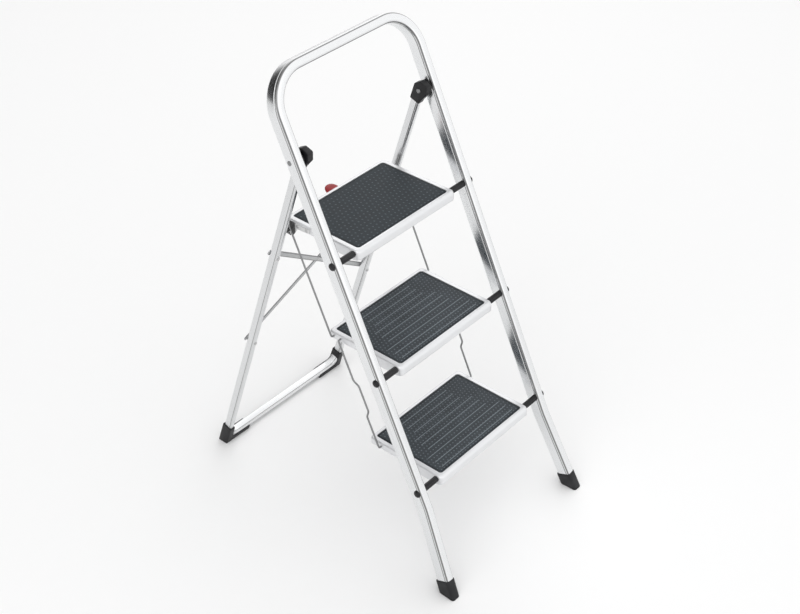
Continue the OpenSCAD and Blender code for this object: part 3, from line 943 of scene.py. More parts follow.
@dataclass
class Palette:
    """Every finish of the stool, each made once."""

    tube: Finish = SatinTube("tube_aluminium_look", grey(0.88, -0.01), grey(0.76, -0.01))
    leg: Finish = SatinTube("leg_aluminium_look", grey(0.80, -0.01), grey(0.68, -0.01), rough=0.26)
    pan: Finish = SprayedPan("pan_coating_look", (0.78, 0.785, 0.80, 1.0), (0.69, 0.695, 0.71, 1.0))
    mat_plain: Finish = TreadRubber("platform_mat_look", CHARCOAL, (0.095, 0.118, 0.135, 1.0), ribs=False,
                                     pitch=11.0)
    mat_ribbed: Finish = TreadRubber("ribbed_mat_look", CHARCOAL, (0.19, 0.22, 0.245, 1.0), ribs=True)
    black: Finish = MouldedBlack("black_plastic_look")
    zinc: Finish = PlatedSteel("zinc_look", grey(0.62), grey(0.42))
    rod: Finish = PlatedSteel("rod_look", grey(0.34, -0.01), grey(0.2, -0.01), rough=0.32)
    hook: Finish = PlatedSteel("hook_look", grey(0.13), grey(0.08), rough=0.4, metal=0.5, arm=grey(0.66))
    # the brace's edge colour, grey 0.2, is painted shade on its rolled edges
    strip: Finish = PressedStrip("brace_look", grey(0.5, -0.01), grey(0.2, -0.01))
    red: Finish = GlossRed("red_lever_look")
    paper: Finish = StudioPaper("paper_look")
    made: dict[str, bpy.types.Material] = field(default_factory=dict)

    def get(self, finish: Finish) -> bpy.types.Material:
        """Material of a finish, built the first time.

        Args:
            finish: the finish.

        Returns:
            its material.
        """
        if finish.name not in self.made:
            self.made[finish.name] = finish.make()
        return self.made[finish.name]


# ---------------------------------------------------------------- pieces
@dataclass
class Piece:
    """A finished surface: its mesh, its finish, the body it rides on and the CAD nodes it stands for."""

    name: str
    body: str
    slot: str
    finish: Finish
    shape: Mesh
    local: Optional[Array] = None
    replaces: tuple[str, ...] = ()
    sharp: float = 38.0

    def build(self, palette: Palette) -> bpy.types.Object:
        """Makes the object, with faces outward and smooth shading up to the sharp angle.

        Args:
            palette: where finishes come from.

        Returns:
            the object.
        """
        verts, faces = self.shape
        if signed_volume(verts, faces) < 0:
            faces = [f[::-1] for f in faces]
        mesh = bpy.data.meshes.new(self.name)
        mesh.from_pydata((verts * MM).tolist(), [], faces)
        mesh.shade_smooth()
        mesh.set_sharp_from_angle(angle=math.radians(self.sharp))
        local = self.local if self.local is not None else verts
        attribute = mesh.attributes.new("local", "FLOAT_VECTOR", "POINT")
        attribute.data.foreach_set("vector", np.ascontiguousarray(local, np.float32).ravel())
        mesh.materials.append(palette.get(self.finish))
        made = bpy.data.objects.new(self.name, mesh)
        bpy.context.scene.collection.objects.link(made)
        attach(made, self.body)
        if self.replaces:
            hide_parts(*self.replaces)
        LOG.info("%s: %d faces on %s", self.name, len(faces), self.body)
        return made


@dataclass
class Bow:
    """Safety bow: one extruded tube bent into an inverted U, splayed at the feet."""

    layout: Layout
    radius: float = 88.0
    splay: float = 18.5
    splay_bend: float = 250.0
    splay_s: float = -30.0
    groove: float = 1.5
    end_z: float = 5.5

    def centre_line(self) -> Array:
        """Half path in the bow's plane, straight, arc, straight and quarter circle, then mirrored.

        Returns:
            (n, 2) places (x, s) from the left foot to the right.
        """
        lay = self.layout
        x0 = lay.bow_width / 2 - lay.stile_w / 2
        angle = math.atan(self.splay / (lay.first_z / math.cos(lay.lean) + self.splay_s))
        a = np.linspace(angle, 0, 14)
        arc = np.stack([x0 + self.splay_bend * (1 - np.cos(a)),
                        self.splay_s - self.splay_bend * np.sin(a)], -1)
        reach = 230.0
        share = np.linspace(0.93, 0, 6)[:-1, None]
        low = arc[0] + reach * np.array([[math.sin(angle), -math.cos(angle)]]) * share
        rc = self.radius - lay.stile_w / 2
        q = np.radians(np.linspace(0, 90, 26))
        corner = np.stack([x0 - rc + rc * np.cos(q), lay.bow_length - self.radius + rc * np.sin(q)], -1)
        straight = np.linspace(arc[-1], corner[0], 24)[1:-1]
        half = np.concatenate([low, arc, straight, corner])
        other = half[::-1] * np.array([-1, 1])
        bar = np.linspace(half[-1], other[0], 8)[1:-1]
        return np.concatenate([half, bar, other])[::-1]

    def profile(self) -> Array:
        """Rounded section with a V groove near the front of each side.

        Returns:
            (n, 2) places (outward, to the rear).
        """
        lay = self.layout
        return grooved(lay.stile_w / 2, lay.stile_d / 2, self.groove, 7.3, 1.8, 5.1)

    def pieces(self, palette: Palette) -> list[Piece]:
        """Surface: the section carried along the path, its ends slid along the legs to one height.

        Args:
            palette: the finishes.

        Returns:
            the bow.
        """
        lay = self.layout
        rings, local = carried(self.centre_line(), self.profile(), lay.stile_w / 2, lay.stile_back,
                               lay.on_bow)
        for end, near in ((0, 1), (-1, -2)):
            along = rings[near] - rings[end]
            rings[end] = rings[near] - along * ((rings[near][:, 2:] - self.end_z) / along[:, 2:])
        return [Piece("bow_tube", "bow", "tube_aluminium", palette.tube, loft(rings), local, ("safety_bow",))]


@dataclass
class FrontFoot:
    """Moulded cap over the end of a stile, cut level with the floor."""

    layout: Layout
    side: Side
    rise: float = 40.0

    def pieces(self, palette: Palette) -> list[Piece]:
        """Surface: a rounded section down the splayed leg, its last rings slid along the leg to the floor.

        Args:
            palette: the finishes.

        Returns:
            the cap.
        """
        lay, bow = self.layout, Bow(self.layout)
        x0 = lay.bow_width / 2 - lay.stile_w / 2
        angle = math.atan(bow.splay / (lay.first_z / math.cos(lay.lean) + bow.splay_s))
        start = np.array([x0 + bow.splay_bend * (1 - math.cos(angle)),
                          bow.splay_s - bow.splay_bend * math.sin(angle)])
        down = np.array([math.sin(angle), -math.cos(angle)])
        across = np.array([math.cos(angle), math.sin(angle)])
        direction = lay.on_bow(down[0], down[1], 0.0) - lay.on_bow(0.0, 0.0, 0.0)
        total = ((lay.first_z / math.cos(lay.lean) + bow.splay_s) / math.cos(angle)
                 - bow.splay_bend * math.sin(angle))
        rings = []
        stations = ((0.0, 2.6), (0.0, 1.3), (0.3, 0.5), (1.2, 0.0), (8.0, 0.0), (16.0, 0.0), (24.0, 0.0),
                    (self.rise, 0.0), (self.rise, 1.0))
        for t, inset in stations:
            section = rounded_rect(lay.stile_w + 3.2 - 2 * inset, lay.stile_d + 4.2 - 2 * inset,
                                   max(6 - inset, 1.5), 7, 3)
            section = section + np.array([0, 0.9])
            p = start + down * (total - self.rise + t)
            flat = p + section[:, :1] * across
            ring = lay.on_bow(flat[:, 0], flat[:, 1], lay.stile_back + section[:, 1])
            if t == self.rise:
                drop = (0.0 if inset > 0 else 1.2)
                ring = ring + direction * ((ring[:, 2:3] - drop) / -direction[2])
            rings.append(ring)
        verts, faces = loft(rings)
        verts[:, 0] *= self.side.value
        word = self.side.word
        return [Piece(f"front_foot_{word}_cap", "bow", "black_plastic", palette.black, (verts, faces),
                      replaces=(f"front_foot_{word}",))]


@dataclass
class RearFrame:
    """Rear frame: one smaller tube bent into a U that stands on the floor."""

    layout: Layout
    leg_end: float = -9.0
    boot_wall: float = 2.2
    boot_front: float = 1.8
    boot_edge: float = 1.4

    def corner(self, leg_to: float, bar_to: float) -> Array:
        """Centre line of one corner: leg, quarter turn, bar.

        Args:
            leg_to: where the leg starts along u.
            bar_to: where the bar ends along x.

        Returns:
            (n, 2) places (x, u).
        """
        lay, r = self.layout, self.layout.rear_bend
        splay = lay.rear_splay
        cu = lay.bar_u + r
        su = cu + r * math.sin(splay)
        cx = lay.leg_x(su) - r * math.cos(splay)
        q = np.linspace(splay, -math.pi / 2, 22)
        arc = np.stack([cx + r * np.cos(q), cu + r * np.sin(q)], -1)
        leg = np.linspace([lay.leg_x(leg_to), leg_to], arc[0], max(3, int(abs(leg_to - su) / 40)))[:-1]
        bar = np.linspace(arc[-1], [bar_to, lay.bar_u], 5)[1:]
        return np.concatenate([leg, arc, bar])

    def foot(self, side: Side, palette: Palette) -> list[Piece]:
        """Surface: the boot's outline as a slab across the rear frame, cut level with the floor.

        Args:
            side: which side.
            palette: the finishes.

        Returns:
            the boot.
        """
        lay, u = self.layout, self.layout.bar_u
        out = lay.rear_w / 2 + self.boot_wall
        su = u + lay.rear_bend * (1 + math.sin(lay.rear_splay))
        cx = lay.leg_x(su) - lay.rear_bend * math.cos(lay.rear_splay)
        leg = lay.leg_x(u + 42)
        loop = fillet([(leg + out, u + 42), (leg - out, u + 42), (lay.leg_x(u) - out - 1, u + 11),
                       (lay.leg_x(u) - out - 7, u + 3), (cx - 30, u + 2), (cx - 30, u - 30),
                       (lay.leg_x(u) + out + 1, u - 30)], (2, 2, 2, 2, 2, 0.1, 0.1), 5)
        loop = loop[::-1] if signed_area(loop) < 0 else loop
        low = lay.rear_back - lay.rear_d / 2 - self.boot_front
        y0, z0 = lay.rear_pivot
        high = (lay.depth / 2 - y0 - z0 * math.tan(lay.rear)) * math.cos(lay.rear)
        sn, cs = math.sin(lay.rear), math.cos(lay.rear)

        def place(p: Array, h: Array) -> Array:
            """Args: p: outline points; h: places to the rear. Returns: row-frame points over the floor."""
            least = (-z0 - h * sn) / cs
            return lay.on_rear(p[:, 0], np.maximum(p[:, 1], least), h)

        v, f = slab(loop, low, high - 0.05, self.boot_edge, place)
        return [Piece(f"rear_foot_{side.word}_boot", "rear_frame", "black_plastic", palette.black,
                      (v * np.array([side.value, 1, 1]), f), replaces=(f"rear_foot_{side.word}",))]

    def pieces(self, palette: Palette) -> list[Piece]:
        """The tube and its feet.

        Args:
            palette: the finishes.

        Returns:
            the pieces.
        """
        lay = self.layout
        half = self.corner(self.leg_end, 0.0)
        line = np.concatenate([half, (half * np.array([-1, 1]))[::-1][1:]])
        section = grooved(lay.rear_w / 2, lay.rear_d / 2, 0.8, 5.0, 1.0, 3.5)
        rings, local = carried(line, section, lay.rear_w / 2, lay.rear_back, lay.on_rear)
        out = [Piece("rear_tube", "rear_frame", "leg_aluminium", palette.leg, loft(rings), local,
                     ("rear_frame",))]
        for side in Side:
            out += self.foot(side, palette)
        return out


@dataclass
class Braces:
    """Two flat strips crossed between the rear legs."""

    layout: Layout
    width: float = 12.0
    thick: float = 2.0

    def pieces(self, palette: Palette) -> list[Piece]:
        """Surface: a long outline with round ends, as a slab lying against the back of the legs.

        Args:
            palette: the finishes.

        Returns:
            both strips.
        """
        lay = self.layout
        a = np.array([-lay.leg_x(lay.brace_top), lay.brace_top])
        b = np.array([lay.leg_x(lay.brace_low), lay.brace_low])
        span, unit = np.linalg.norm(b - a), (b - a) / np.linalg.norm(b - a)
        across = np.array([-unit[1], unit[0]])
        q = np.linspace(-math.pi / 2, math.pi / 2, 12)
        r = self.width / 2
        right = np.stack([span + 4 + r * np.cos(q), r * np.sin(q)], -1)
        left = np.stack([-4 - r * np.cos(q), -r * np.sin(q)], -1)
        loop = np.concatenate([right, left])
        base = lay.rear_back + lay.rear_d / 2 + SEAT
        out = []
        for name, mirror, c0 in (("brace_a", 1, base), ("brace_b", -1, base + self.thick + 0.2)):
            flat: list[Array] = []

            def place(p: Array, h: Array, mirror: int = mirror, flat: list[Array] = flat) -> Array:
                """Args: p: outline points; h: heights. Returns: row-frame points."""
                flat.append(np.stack([p[:, 0], p[:, 1], h], -1))
                w = a + p[:, :1] * unit + p[:, 1:] * across
                return lay.on_rear(mirror * w[:, 0], w[:, 1], h)

            shape = slab(loop, c0, c0 + self.thick, 0.5, place)
            out.append(Piece(f"{name}_strip", "rear_frame", "brace_steel", palette.strip, shape,
                             np.concatenate(flat), (name,)))
        return out


@dataclass
class HingeHead:
    """Black moulding at the top of a rear leg."""

    layout: Layout
    side: Side

    def pieces(self, palette: Palette) -> list[Piece]:
        """Surface: the head's outline as a thick slab with soft edges, leaned with the rear frame.

        Args:
            palette: the finishes.

        Returns:
            the head and the washer block beside it.
        """
        lay = self.layout
        y0, z0 = lay.rear_pivot
        cs, sn = math.cos(lay.rear), math.sin(lay.rear)
        loop = fillet([(15.5, -29), (15.5, 9), (4, 21), (-15, 21), (-20, 3), (-11, -20), (-9.2, -29)],
                      (3, 5, 5, 5, 5, 4, 2))
        inner, outer = lay.rear_top - lay.rear_w / 2 - 1.6, lay.rear_top + lay.rear_w / 2 + 1.6

        def place(p: Array, h: Array) -> Array:
            """Args: p: outline points; h: sideways places. Returns: row-frame points."""
            y, z = y0 + p[:, 0] * cs - p[:, 1] * sn, z0 + p[:, 0] * sn + p[:, 1] * cs
            return np.stack([self.side.value * h, y, z], -1)

        word = self.side.word
        head = Piece(f"hinge_head_{word}_moulding", "rear_frame", "black_plastic", palette.black,
                     slab(loop, inner, outer, 1.6, place, 5), replaces=(f"hinge_head_{word}",))
        end = lay.inner_x - SEAT
        profile = [(outer + 0.3, 9.8), (outer + 0.6, 10.7), (outer + 1.4, 11), (end - 6.2, 11),
                   (end - 5.9, 14.2), (end - 5.2, 15), (end - 0.6, 15), (end, 14.4)]
        disc = turned(profile, np.array([y0, z0]), self.side.value, 56)
        spacer = Piece(f"hinge_spacer_{word}_disc", "bow", "black_plastic", palette.black, disc,
                       replaces=(f"hinge_spacer_{word}",))
        return [head, spacer]


@dataclass
class Tread:
    """Pressed tread with a rolled nose, side flanges and an inset mat."""

    layout: Layout
    level: Level
    width: float = 293.0
    front: float = 13.0
    rear: float = 183.0
    top: float = 7.2
    sheet: float = 1.6
    mat_w: float = 269.5
    mat_d: float = 176.5
    mat_front: float = 1.75
    mat_top: float = 6.35

    def outline(self, grow: float, radius: float) -> Array:
        """Plan of the tread drawn out by grow.

        Args:
            grow: outward offset.
            radius: corner radius.

        Returns:
            (n, 2) places from the pivot.
        """
        loop = rounded_rect(self.width + 2 * grow, self.front + self.rear + 2 * grow, radius, 8, 40)
        return loop + np.array([0, (self.rear - self.front) / 2])

    def mat_plan(self, grow: float, radius: float) -> Array:
        """Plan of the mat drawn out by grow.

        Args:
            grow: outward offset.
            radius: corner radius.

        Returns:
            (n, 2) places from the pivot.
        """
        loop = rounded_rect(self.mat_w + 2 * grow, self.mat_d + 2 * grow, radius, 8, 40)
        return loop + np.array([0, self.mat_d / 2 - self.mat_front])

    def lower_edge(self, p: Array) -> Array:
        """Height of the flange's lower edge: deep at the nose, shallow behind, notched for the lever.

        Args:
            p: plan places.

        Returns:
            heights from the pivot.
        """
        z = np.interp(p[:, 1], (-13, 8, 60, 105, 183), (-14, -17, -16, -8, -8))
        if self.level is Level.TOP:
            back = (p[:, 1] > self.rear - 4) & (np.abs(p[:, 0]) < 18.6)
            z = np.where(back, -0.9, z)
        return z

    def pieces(self, palette: Palette) -> list[Piece]:
        """Surface: rings from the mat's well out over the lip, down the flange, round its edge and up inside.

        Args:
            palette: the finishes.

        Returns:
            the tread and its mat.
        """
        y0, z0 = self.layout.step(self.level.value)
        outer = self.outline(0, 9)
        normal = outline_normals(outer)
        nose = np.clip((-outer[:, 1] - 2) / 9, 0, 1)
        nose = nose * nose * (3 - 2 * nose)
        bend = 3.6 + 3.6 * nose
        well = self.mat_plan(0.25, 6.25)
        floor = self.mat_top - 2.5
        rings: list[Array] = []

        def ring(plan: Array, z: Union[Array, float]) -> None:
            """Args: plan: plan places; z: heights. Adds a ring."""
            rings.append(np.column_stack([plan, np.broadcast_to(z, (len(plan),))]))

        ring(self.mat_plan(-6, 2), floor)
        ring(well, floor)
        ring(self.mat_plan(0.3, 6.3), self.top - 0.5)
        ring(self.mat_plan(0.75, 6.7), self.top)
        lip = self.mat_plan(0.75, 6.7)
        turn_in = outer - normal * bend[:, None]
        ring(lip * 0.5 + turn_in * 0.5, self.top + 0 * bend)
        for a in np.radians(np.linspace(0, 90, 9)):
            ring(outer - normal * (bend * (1 - math.sin(a)))[:, None], self.top - bend * (1 - math.cos(a)))
        bottom = self.lower_edge(outer)
        edge = 0.8 + 1.5 * nose
        for share in (0.35, 0.7, 1.0):
            ring(outer, (self.top - bend) * (1 - share) + (bottom + edge) * share)
        for a in np.radians(np.linspace(25, 180, 7)):
            ring(outer - normal * (edge * (1 - math.cos(a)))[:, None], bottom + edge * (1 - math.sin(a)))
        inner_top = floor - self.sheet
        ring(outer - normal * (2 * edge)[:, None], np.minimum(inner_top - 1.0, bottom + edge + 1.5))
        ring(outer - normal * self.sheet, np.minimum(inner_top - 0.8, bottom + edge + 3.5))
        ring(outer - normal * self.sheet, np.full(len(outer), inner_top - 0.4))
        ring(outer - normal * (self.sheet + 1.2), inner_top)
        ring(self.mat_plan(-6, 2), inner_top)
        verts, faces = loft(rings)
        local = verts.copy()
        verts = verts + np.array([0, y0, z0])
        name = self.level.name.lower()
        out = [Piece(f"{name}_tread", self.level.body, "pan_coating", palette.pan, (verts, faces), local,
                     (f"{name}_step",), sharp=34)]
        mat_rings = [(-0.9, floor + 0.05), (-0.35, floor + 0.05), (-0.3, floor + 1.2),
                     (-0.3, self.mat_top - 0.55), (-0.55, self.mat_top - 0.15), (-1.0, self.mat_top),
                     (-8.0, self.mat_top)]
        flat = []
        for grow, z in mat_rings:
            plan = self.mat_plan(grow, 6 + grow if grow > -5 else 2)
            flat.append(np.column_stack([plan, np.full(len(plan), z)]))
        v, f = loft(flat)
        finish = palette.mat_plain if self.level is Level.TOP else palette.mat_ribbed
        out.append(Piece(f"{name}_tread_mat", self.level.body, "mat_rubber", finish,
                         (v + np.array([0, y0, z0]), f), v, (f"{name}_mat",)))
        return out


@dataclass
class Spacers:
    """Ridged black spacers between a tread and the stiles, with domed caps outside."""

    layout: Layout
    level: Level
    gap: float = 0.4

    def pieces(self, palette: Palette) -> list[Piece]:
        """Surface: turned sleeves with eight ridges, and domed caps.

        Args:
            palette: the finishes.

        Returns:
            spacers of both sides and, on the platform, every cap.
        """
        lay = self.layout
        at = np.array(lay.step(self.level.value))
        x0, x1 = lay.pan_half + self.gap, lay.inner_x - SEAT
        name = self.level.name.lower()

        def ridge(a: Array) -> Array:
            """Args: a: angles. Returns: height of the ridges there."""
            return 0.65 * np.clip(np.cos(8 * a) * 2.2 - 0.9, 0, 1)

        profile = [(x0, 5.4), (x0 + 0.2, 5.9), (x0 + 0.7, 6.2), (x1 - 2.3, 6.2), (x1 - 2.1, 6.2)]
        flange = [(x1 - 2.2, 6.4), (x1 - 1.9, 6.9), (x1 - 0.3, 6.95), (x1, 6.5)]
        out = []
        for side in Side:
            shape = join([turned(profile, at, side.value, 96, ridge), turned(flange, at, side.value, 96)])
            spacer = f"{name}_spacer_{side.word}"
            out.append(Piece(f"{spacer}_sleeve", "bow", "black_plastic", palette.black, shape,
                             replaces=(spacer,)))
        if self.level is Level.TOP:
            dome = [(lay.bow_width / 2 + SEAT + x, r) for x, r in
                    ((0, 7.6), (0.25, 7.9), (0.8, 8), (1.6, 7.9), (2.9, 7.0), (3.8, 5.6), (4.3, 3.9),
                     (4.55, 2.0), (4.6, 0.4))]
            caps = [turned(dome, np.array(lay.step(i)), s.value, 40) for i in range(3) for s in Side]
            out.append(Piece("bolt_cap_domes", "bow", "black_plastic", palette.black, join(caps),
                             replaces=("bolt_caps",)))
        return out


@dataclass
class Rod:
    """Round wire linking a tread to the one above, hooked into both."""

    layout: Layout
    side: Side
    level: Level
    radius: float = 2.0
    half: float = 153.5
    inside: float = 142.5
    crank: float = 10.5
    crank_from: float = 76.0
    crank_rise: float = 12.0
    crank_run: float = 60.0

    def pieces(self, palette: Palette) -> list[Piece]:
        """Surface: a round wire along straight runs and short bends, the lower ones set forward part way.

        Args:
            palette: the finishes.

        Returns:
            the rod.
        """
        lay = self.layout
        upper = self.level is Level.MIDDLE
        y, z = lay.step(self.level.value)
        y += lay.upper_hole if upper else lay.lower_hole
        z -= 1.0
        up = np.array([0, math.sin(lay.lean), math.cos(lay.lean)])
        fore = np.array([0, -math.cos(lay.lean), math.sin(lay.lean)])
        out_x = np.array([1.0, 0, 0])
        length = lay.pitch / math.cos(lay.lean)
        base = np.array([0, y, z])
        points = [base + out_x * self.inside, base + out_x * self.half]
        if not upper:
            start, stop = self.crank_from, self.crank_from + self.crank_rise
            for along, set_out in ((start, 0.0), (stop, self.crank), (stop + self.crank_run, self.crank),
                                   (stop + self.crank_run + self.crank_rise, 0.0)):
                points.append(base + out_x * self.half + up * along + fore * set_out)
        points += [base + out_x * self.half + up * length, base + out_x * self.inside + up * length]
        path = round_corners(np.array(points), 5.0 if upper else 4.5)
        verts, faces = tube(path, self.radius, 18)
        verts[:, 0] *= self.side.value
        name = f"{'upper' if upper else 'lower'}_rod_{self.side.word}"
        return [Piece(f"{name}_wire", name, "rod_steel", palette.rod, (verts, faces), replaces=(name,))]


def round_corners(points: Array, radius: float, arc: int = 9) -> Array:
    """Path through points whose corners become arcs: each is a quadratic from cut to cut about the corner.

    Args:
        points: corners of the path, (n, 3).
        radius: distance of the cuts from each corner.
        arc: points on each arc.

    Returns:
        the smoothed path with points about 12 apart on its straights.
    """
    out = [points[0]]
    for k in range(1, len(points) - 1):
        a, q, b = points[k - 1], points[k], points[k + 1]
        ca, cb = min(radius, 0.45 * np.linalg.norm(a - q)), min(radius, 0.45 * np.linalg.norm(b - q))
        p0, p1 = q + (a - q) / np.linalg.norm(a - q) * ca, q + (b - q) / np.linalg.norm(b - q) * cb
        t = np.linspace(0, 1, arc)[:, None]
        out.append((1 - t) ** 2 * p0 + 2 * t * (1 - t) * q + t ** 2 * p1)
    out.append(points[-1])
    rough = np.vstack(out)
    fine = [rough[0]]
    for p in rough[1:]:
        gap = np.linalg.norm(p - fine[-1])
        count = max(1, int(gap / 12))
        fine += list(fine[-1] + (p - fine[-1]) * np.linspace(0, 1, count + 1)[1:, None])
    return np.array(fine)


@dataclass
class PlatformHook:
    """Plate outside the platform's flange, notched over the support bar."""

    layout: Layout
    side: Side
    thick: float = 2.0
    notch_way: float = 235.4
    notch_half: float = 4.1

    def pieces(self, palette: Palette) -> list[Piece]:
        """Surface: the plate's outline, with its notch, as a thin slab.

        Args:
            palette: the finishes.

        Returns:
            the plate.
        """
        y0, z0 = self.layout.step(2)
        bar_y, bar_z, half = self.bar()
        way = math.radians(self.notch_way)
        d, n = np.array([math.cos(way), math.sin(way)]), np.array([-math.sin(way), math.cos(way)])
        centre = np.array([bar_y, bar_z])
        q = way + math.pi + np.linspace(math.pi / 2, -math.pi / 2, 13)
        notch = centre + half * np.stack([np.cos(q), np.sin(q)], -1)
        lower = centre + n * half + d * 14.2
        upper = centre - n * half + d * 13.2
        shape = [(184, 3), (116, 3), (116, -6), (150, -8), tuple(upper)]
        tail = [tuple(lower), (174, -30), (188, -30), (188, -10)]
        start = fillet(shape, (3, 3, 3, 3, 1.2), 5)
        end = fillet(tail, (1.2, 2.5, 3, 3), 5)
        loop = np.concatenate([start, notch, end])
        if signed_area(loop) < 0:
            loop = loop[::-1]
        x0 = self.layout.pan_half + SEAT

        def place(p: Array, h: Array) -> Array:
            """Args: p: outline points; h: sideways places. Returns: row-frame points."""
            return np.stack([self.side.value * h, y0 + p[:, 0], z0 + p[:, 1]], -1)

        shape = slab(loop, x0, x0 + self.thick, 0.35, place, 3)
        word = self.side.word
        return [Piece(f"platform_hook_{word}_plate", "top_step", "hook_steel", palette.hook, shape,
                      shape[0] - np.array([0, y0, z0]), (f"platform_hook_{word}",))]

    def bar(self) -> tuple[float, float, float]:
        """Returns: (y, z) of the support bar from the pivot, and the notch's half width."""
        lay = self.layout
        y0, z0 = lay.step(2)
        ry, rz = lay.rear_pivot
        u = (z0 - lay.bar_drop - rz - lay.rear_back * math.sin(lay.rear)) / math.cos(lay.rear)
        y = ry - u * math.sin(lay.rear) + lay.rear_back * math.cos(lay.rear) - y0
        return y, -lay.bar_drop, self.notch_half


@dataclass
class Lever:
    """Glossy red tongue behind the platform, with a nose that drops behind the support bar."""

    layout: Layout
    half: float = 17.0

    def pieces(self, palette: Palette) -> list[Piece]:
        """Surface: a D-shaped slab, bent up towards its free end and crowned across, and a nose below it.

        Args:
            palette: the finishes.

        Returns:
            tongue and nose in one piece.
        """
        y0, z0 = self.layout.step(2)
        h = self.half
        q = np.radians(np.linspace(0, 180, 25))
        tip = np.stack([h * np.cos(q), 189 + 20 * np.sin(q)], -1)
        back = fillet([(-h, 166), (h, 166)] + [(h, 180), (-h, 180)], 2.5, 5)
        back = back[back[:, 1] < 178]
        loop = np.concatenate([tip, back])

        def place(p: Array, z: Array) -> Array:
            """Args: p: plan points; z: heights in the slab. Returns: row-frame points."""
            t = np.clip((p[:, 1] - 178) / 30, 0, 1)
            rise = -8.4 + 5.2 * t * t * (3 - 2 * t)
            crown = 0.9 * (1 - (p[:, 0] / h) ** 2) * (z > 2)
            return np.stack([p[:, 0], y0 + p[:, 1], z0 + z + rise + crown], -1)

        n = outline_normals(loop)
        rings = []
        for a in np.linspace(0, math.pi / 2, 5):
            height = np.full(len(loop), 1.6 * (1 - math.cos(a)))
            rings.append(place(loop - n * 1.6 * (1 - math.sin(a)), height))
        for inset, z in ((0, 2.4), (0.25, 3.1), (0.9, 3.7), (1.6, 4.0)):
            rings.append(place(loop - n * inset, np.full(len(loop), z)))
        last, middle = loop - n * 1.6, loop.mean(0)
        for share in (0.8, 0.5, 0.2):
            rings.append(place(middle + (last - middle) * share, np.full(len(loop), 4.2)))
        nose_loop = fillet([(179.2, -5), (184, -5), (185, -23.6), (181.6, -23.6)], 1.2, 5)
        nose = slab(nose_loop, -h, h, 0.8, lambda p, x: np.stack([x, y0 + p[:, 0], z0 + p[:, 1]], -1), 3)
        return [Piece("release_lever", "safety_catch", "red_plastic", palette.red, join([loft(rings), nose]),
                      replaces=("safety_catch",), sharp=50)]


# ---------------------------------------------------------------- studio
def posed(name: str, data: bpy.types.ID, axes: Sequence[Array], at: Sequence[float]) -> bpy.types.Object:
    """Object with its own axes and place, linked to the scene.

    Args:
        name: its name.
        data: the camera or light it carries.
        axes: its X, Y and Z axes.
        at: its place.

    Returns:
        the object.
    """
    made = bpy.data.objects.new(name, data)
    rows = np.eye(4)
    rows[:3, :3] = np.stack(axes, -1)
    rows[:3, 3] = at
    made.matrix_world = Matrix(rows.tolist())
    bpy.context.scene.collection.objects.link(made)
    return made


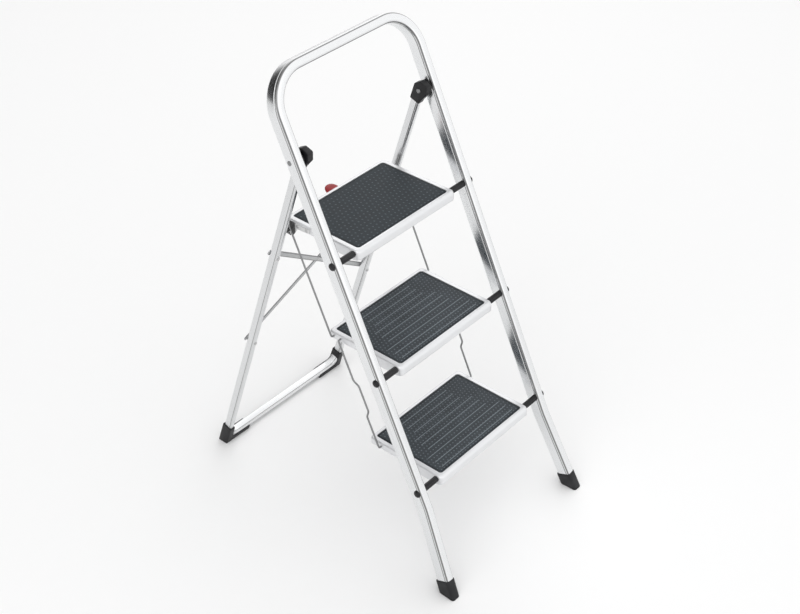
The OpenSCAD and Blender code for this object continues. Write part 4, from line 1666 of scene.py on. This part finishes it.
@dataclass
class Studio:
    """Camera, lights, paper floor and sky."""

    position: tuple[float, float, float] = (-1.8060, -1.6124, 2.2547)
    azimuth: float = -48.76
    elevation: float = 36.71
    roll: float = -0.47
    lens: float = 65.02
    flag: tuple[float, float, float] = (-0.345, 0.9, 0.265)
    aim_z: float = 0.45
    paper_half: float = 14.0

    def camera(self) -> bpy.types.Object:
        """Camera whose axes follow from azimuth, elevation and roll.

        Returns:
            the camera.
        """
        az, el, ro = (math.radians(v) for v in (self.azimuth, self.elevation, self.roll))
        back = np.array([math.sin(az) * math.cos(el), -math.cos(az) * math.cos(el), math.sin(el)])
        right = np.array([math.cos(az), math.sin(az), 0.0])
        up = np.cross(back, right)
        r2 = math.cos(ro) * right + math.sin(ro) * up
        u2 = -math.sin(ro) * right + math.cos(ro) * up
        data = bpy.data.cameras.new("camera")
        data.sensor_fit, data.sensor_width, data.lens = "HORIZONTAL", 36.0, self.lens
        data.clip_end = 60.0
        made = posed("camera", data, (r2, u2, back), self.position)
        bpy.context.scene.camera = made
        return made

    def light(self, role: Role, at: Sequence[float], size: float, power: float) -> None:
        """Soft square light aimed at the stool's middle.

        Args:
            role: its role, which names it.
            at: its place.
            size: its side in metres.
            power: its power in watts.
        """
        data = bpy.data.lights.new(role.value, "AREA")
        data.shape, data.size, data.energy = "SQUARE", size, power
        way = np.array(at) - np.array([0, 0, self.aim_z])
        way /= np.linalg.norm(way)
        side = np.cross([0, 0, 1.0], way)
        side /= np.linalg.norm(side)
        posed(role.value, data, (side, np.cross(way, side), way), at)

    def sky(self) -> None:
        """Pale all round, with one soft dark flag behind the stool for the metal to mirror."""
        world = bpy.data.worlds.new("sky")
        bpy.context.scene.world = world
        world.use_nodes = True
        tree = world.node_tree
        tree.nodes.clear()
        out = tree.nodes.new("ShaderNodeOutputWorld")
        back = tree.nodes.new("ShaderNodeBackground")
        coord = tree.nodes.new("ShaderNodeTexCoord")
        toward = tree.nodes.new("ShaderNodeVectorMath")
        toward.operation = "DOT_PRODUCT"
        toward.inputs[1].default_value = self.flag
        ramp = tree.nodes.new("ShaderNodeMapRange")
        ramp.interpolation_type = "SMOOTHSTEP"
        ramp.inputs[1].default_value, ramp.inputs[2].default_value = 0.52, 0.93
        ramp.inputs[3].default_value, ramp.inputs[4].default_value = 1.12, 0.03
        tree.links.new(coord.outputs["Generated"], toward.inputs[0])
        tree.links.new(toward.outputs["Value"], ramp.inputs[0])
        tree.links.new(ramp.outputs[0], back.inputs["Strength"])
        back.inputs["Color"].default_value = (1, 1, 1, 1)
        tree.links.new(back.outputs[0], out.inputs[0])

    def build(self, palette: Palette) -> None:
        """Sets up the whole studio.

        Args:
            palette: the finishes.
        """
        self.camera()
        self.sky()
        self.light(Role.KEY, (-2.2, -1.2, 3.0), 2.2, 14)
        self.light(Role.FILL, (0.6, -3.2, 1.8), 2.4, 4)
        self.light(Role.RIM, (2.4, 1.6, 2.6), 2.0, 8)
        side = self.paper_half
        ground = bpy.data.meshes.new("paper_floor")
        corners = [(-side, -side, 0), (side, -side, 0), (side, side, 0), (-side, side, 0)]
        ground.from_pydata(corners, [], [(0, 1, 2, 3)])
        ground.materials.append(palette.get(palette.paper))
        made = bpy.data.objects.new("paper_floor", ground)
        bpy.context.scene.collection.objects.link(made)
        view = bpy.context.scene.view_settings
        view.view_transform, view.look, view.exposure, view.gamma = "Standard", "None", 0.0, 1.0


@dataclass
class CadFinishes:
    """Finishes for the fasteners that stay as the CAD made them."""

    palette: Palette
    plan: dict[str, str] = field(default_factory=lambda: {
        "hinge_rivets": "rod", "brace_rivets": "zinc", "brace_washers": "zinc", "step_bolts": "zinc",
        "hook_rivets": "zinc", "catch_pin": "zinc", "support_bar": "rod"})

    def apply(self, nodes: dict[str, bpy.types.Object]) -> None:
        """Gives each such node its finish.

        Args:
            nodes: the CAD nodes by name.
        """
        for name, finish in self.plan.items():
            made = nodes[name]
            made.data.materials.clear()
            made.data.materials.append(self.palette.get(getattr(self.palette, finish)))
            LOG.info("%s: kept from the CAD as %s", name, finish)


def main() -> None:
    """Builds the stool around the frame and sets up the studio."""
    logging.basicConfig(level=logging.INFO, format="%(message)s")
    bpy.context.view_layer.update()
    layout, palette = Layout(), Palette()
    groups = [Bow(layout), RearFrame(layout), Braces(layout)]
    groups += [FrontFoot(layout, side) for side in Side]
    groups += [HingeHead(layout, side) for side in Side]
    groups += [Tread(layout, level) for level in Level]
    groups += [Spacers(layout, level) for level in Level]
    groups += [Rod(layout, side, level) for side in Side for level in (Level.MIDDLE, Level.BOTTOM)]
    groups += [PlatformHook(layout, side) for side in Side]
    groups += [Lever(layout)]
    for group in groups:
        for piece in group.pieces(palette):
            piece.build(palette)
    CadFinishes(palette).apply(frame["nodes"])
    Studio().build(palette)


if __name__ == "__main__":
    main()
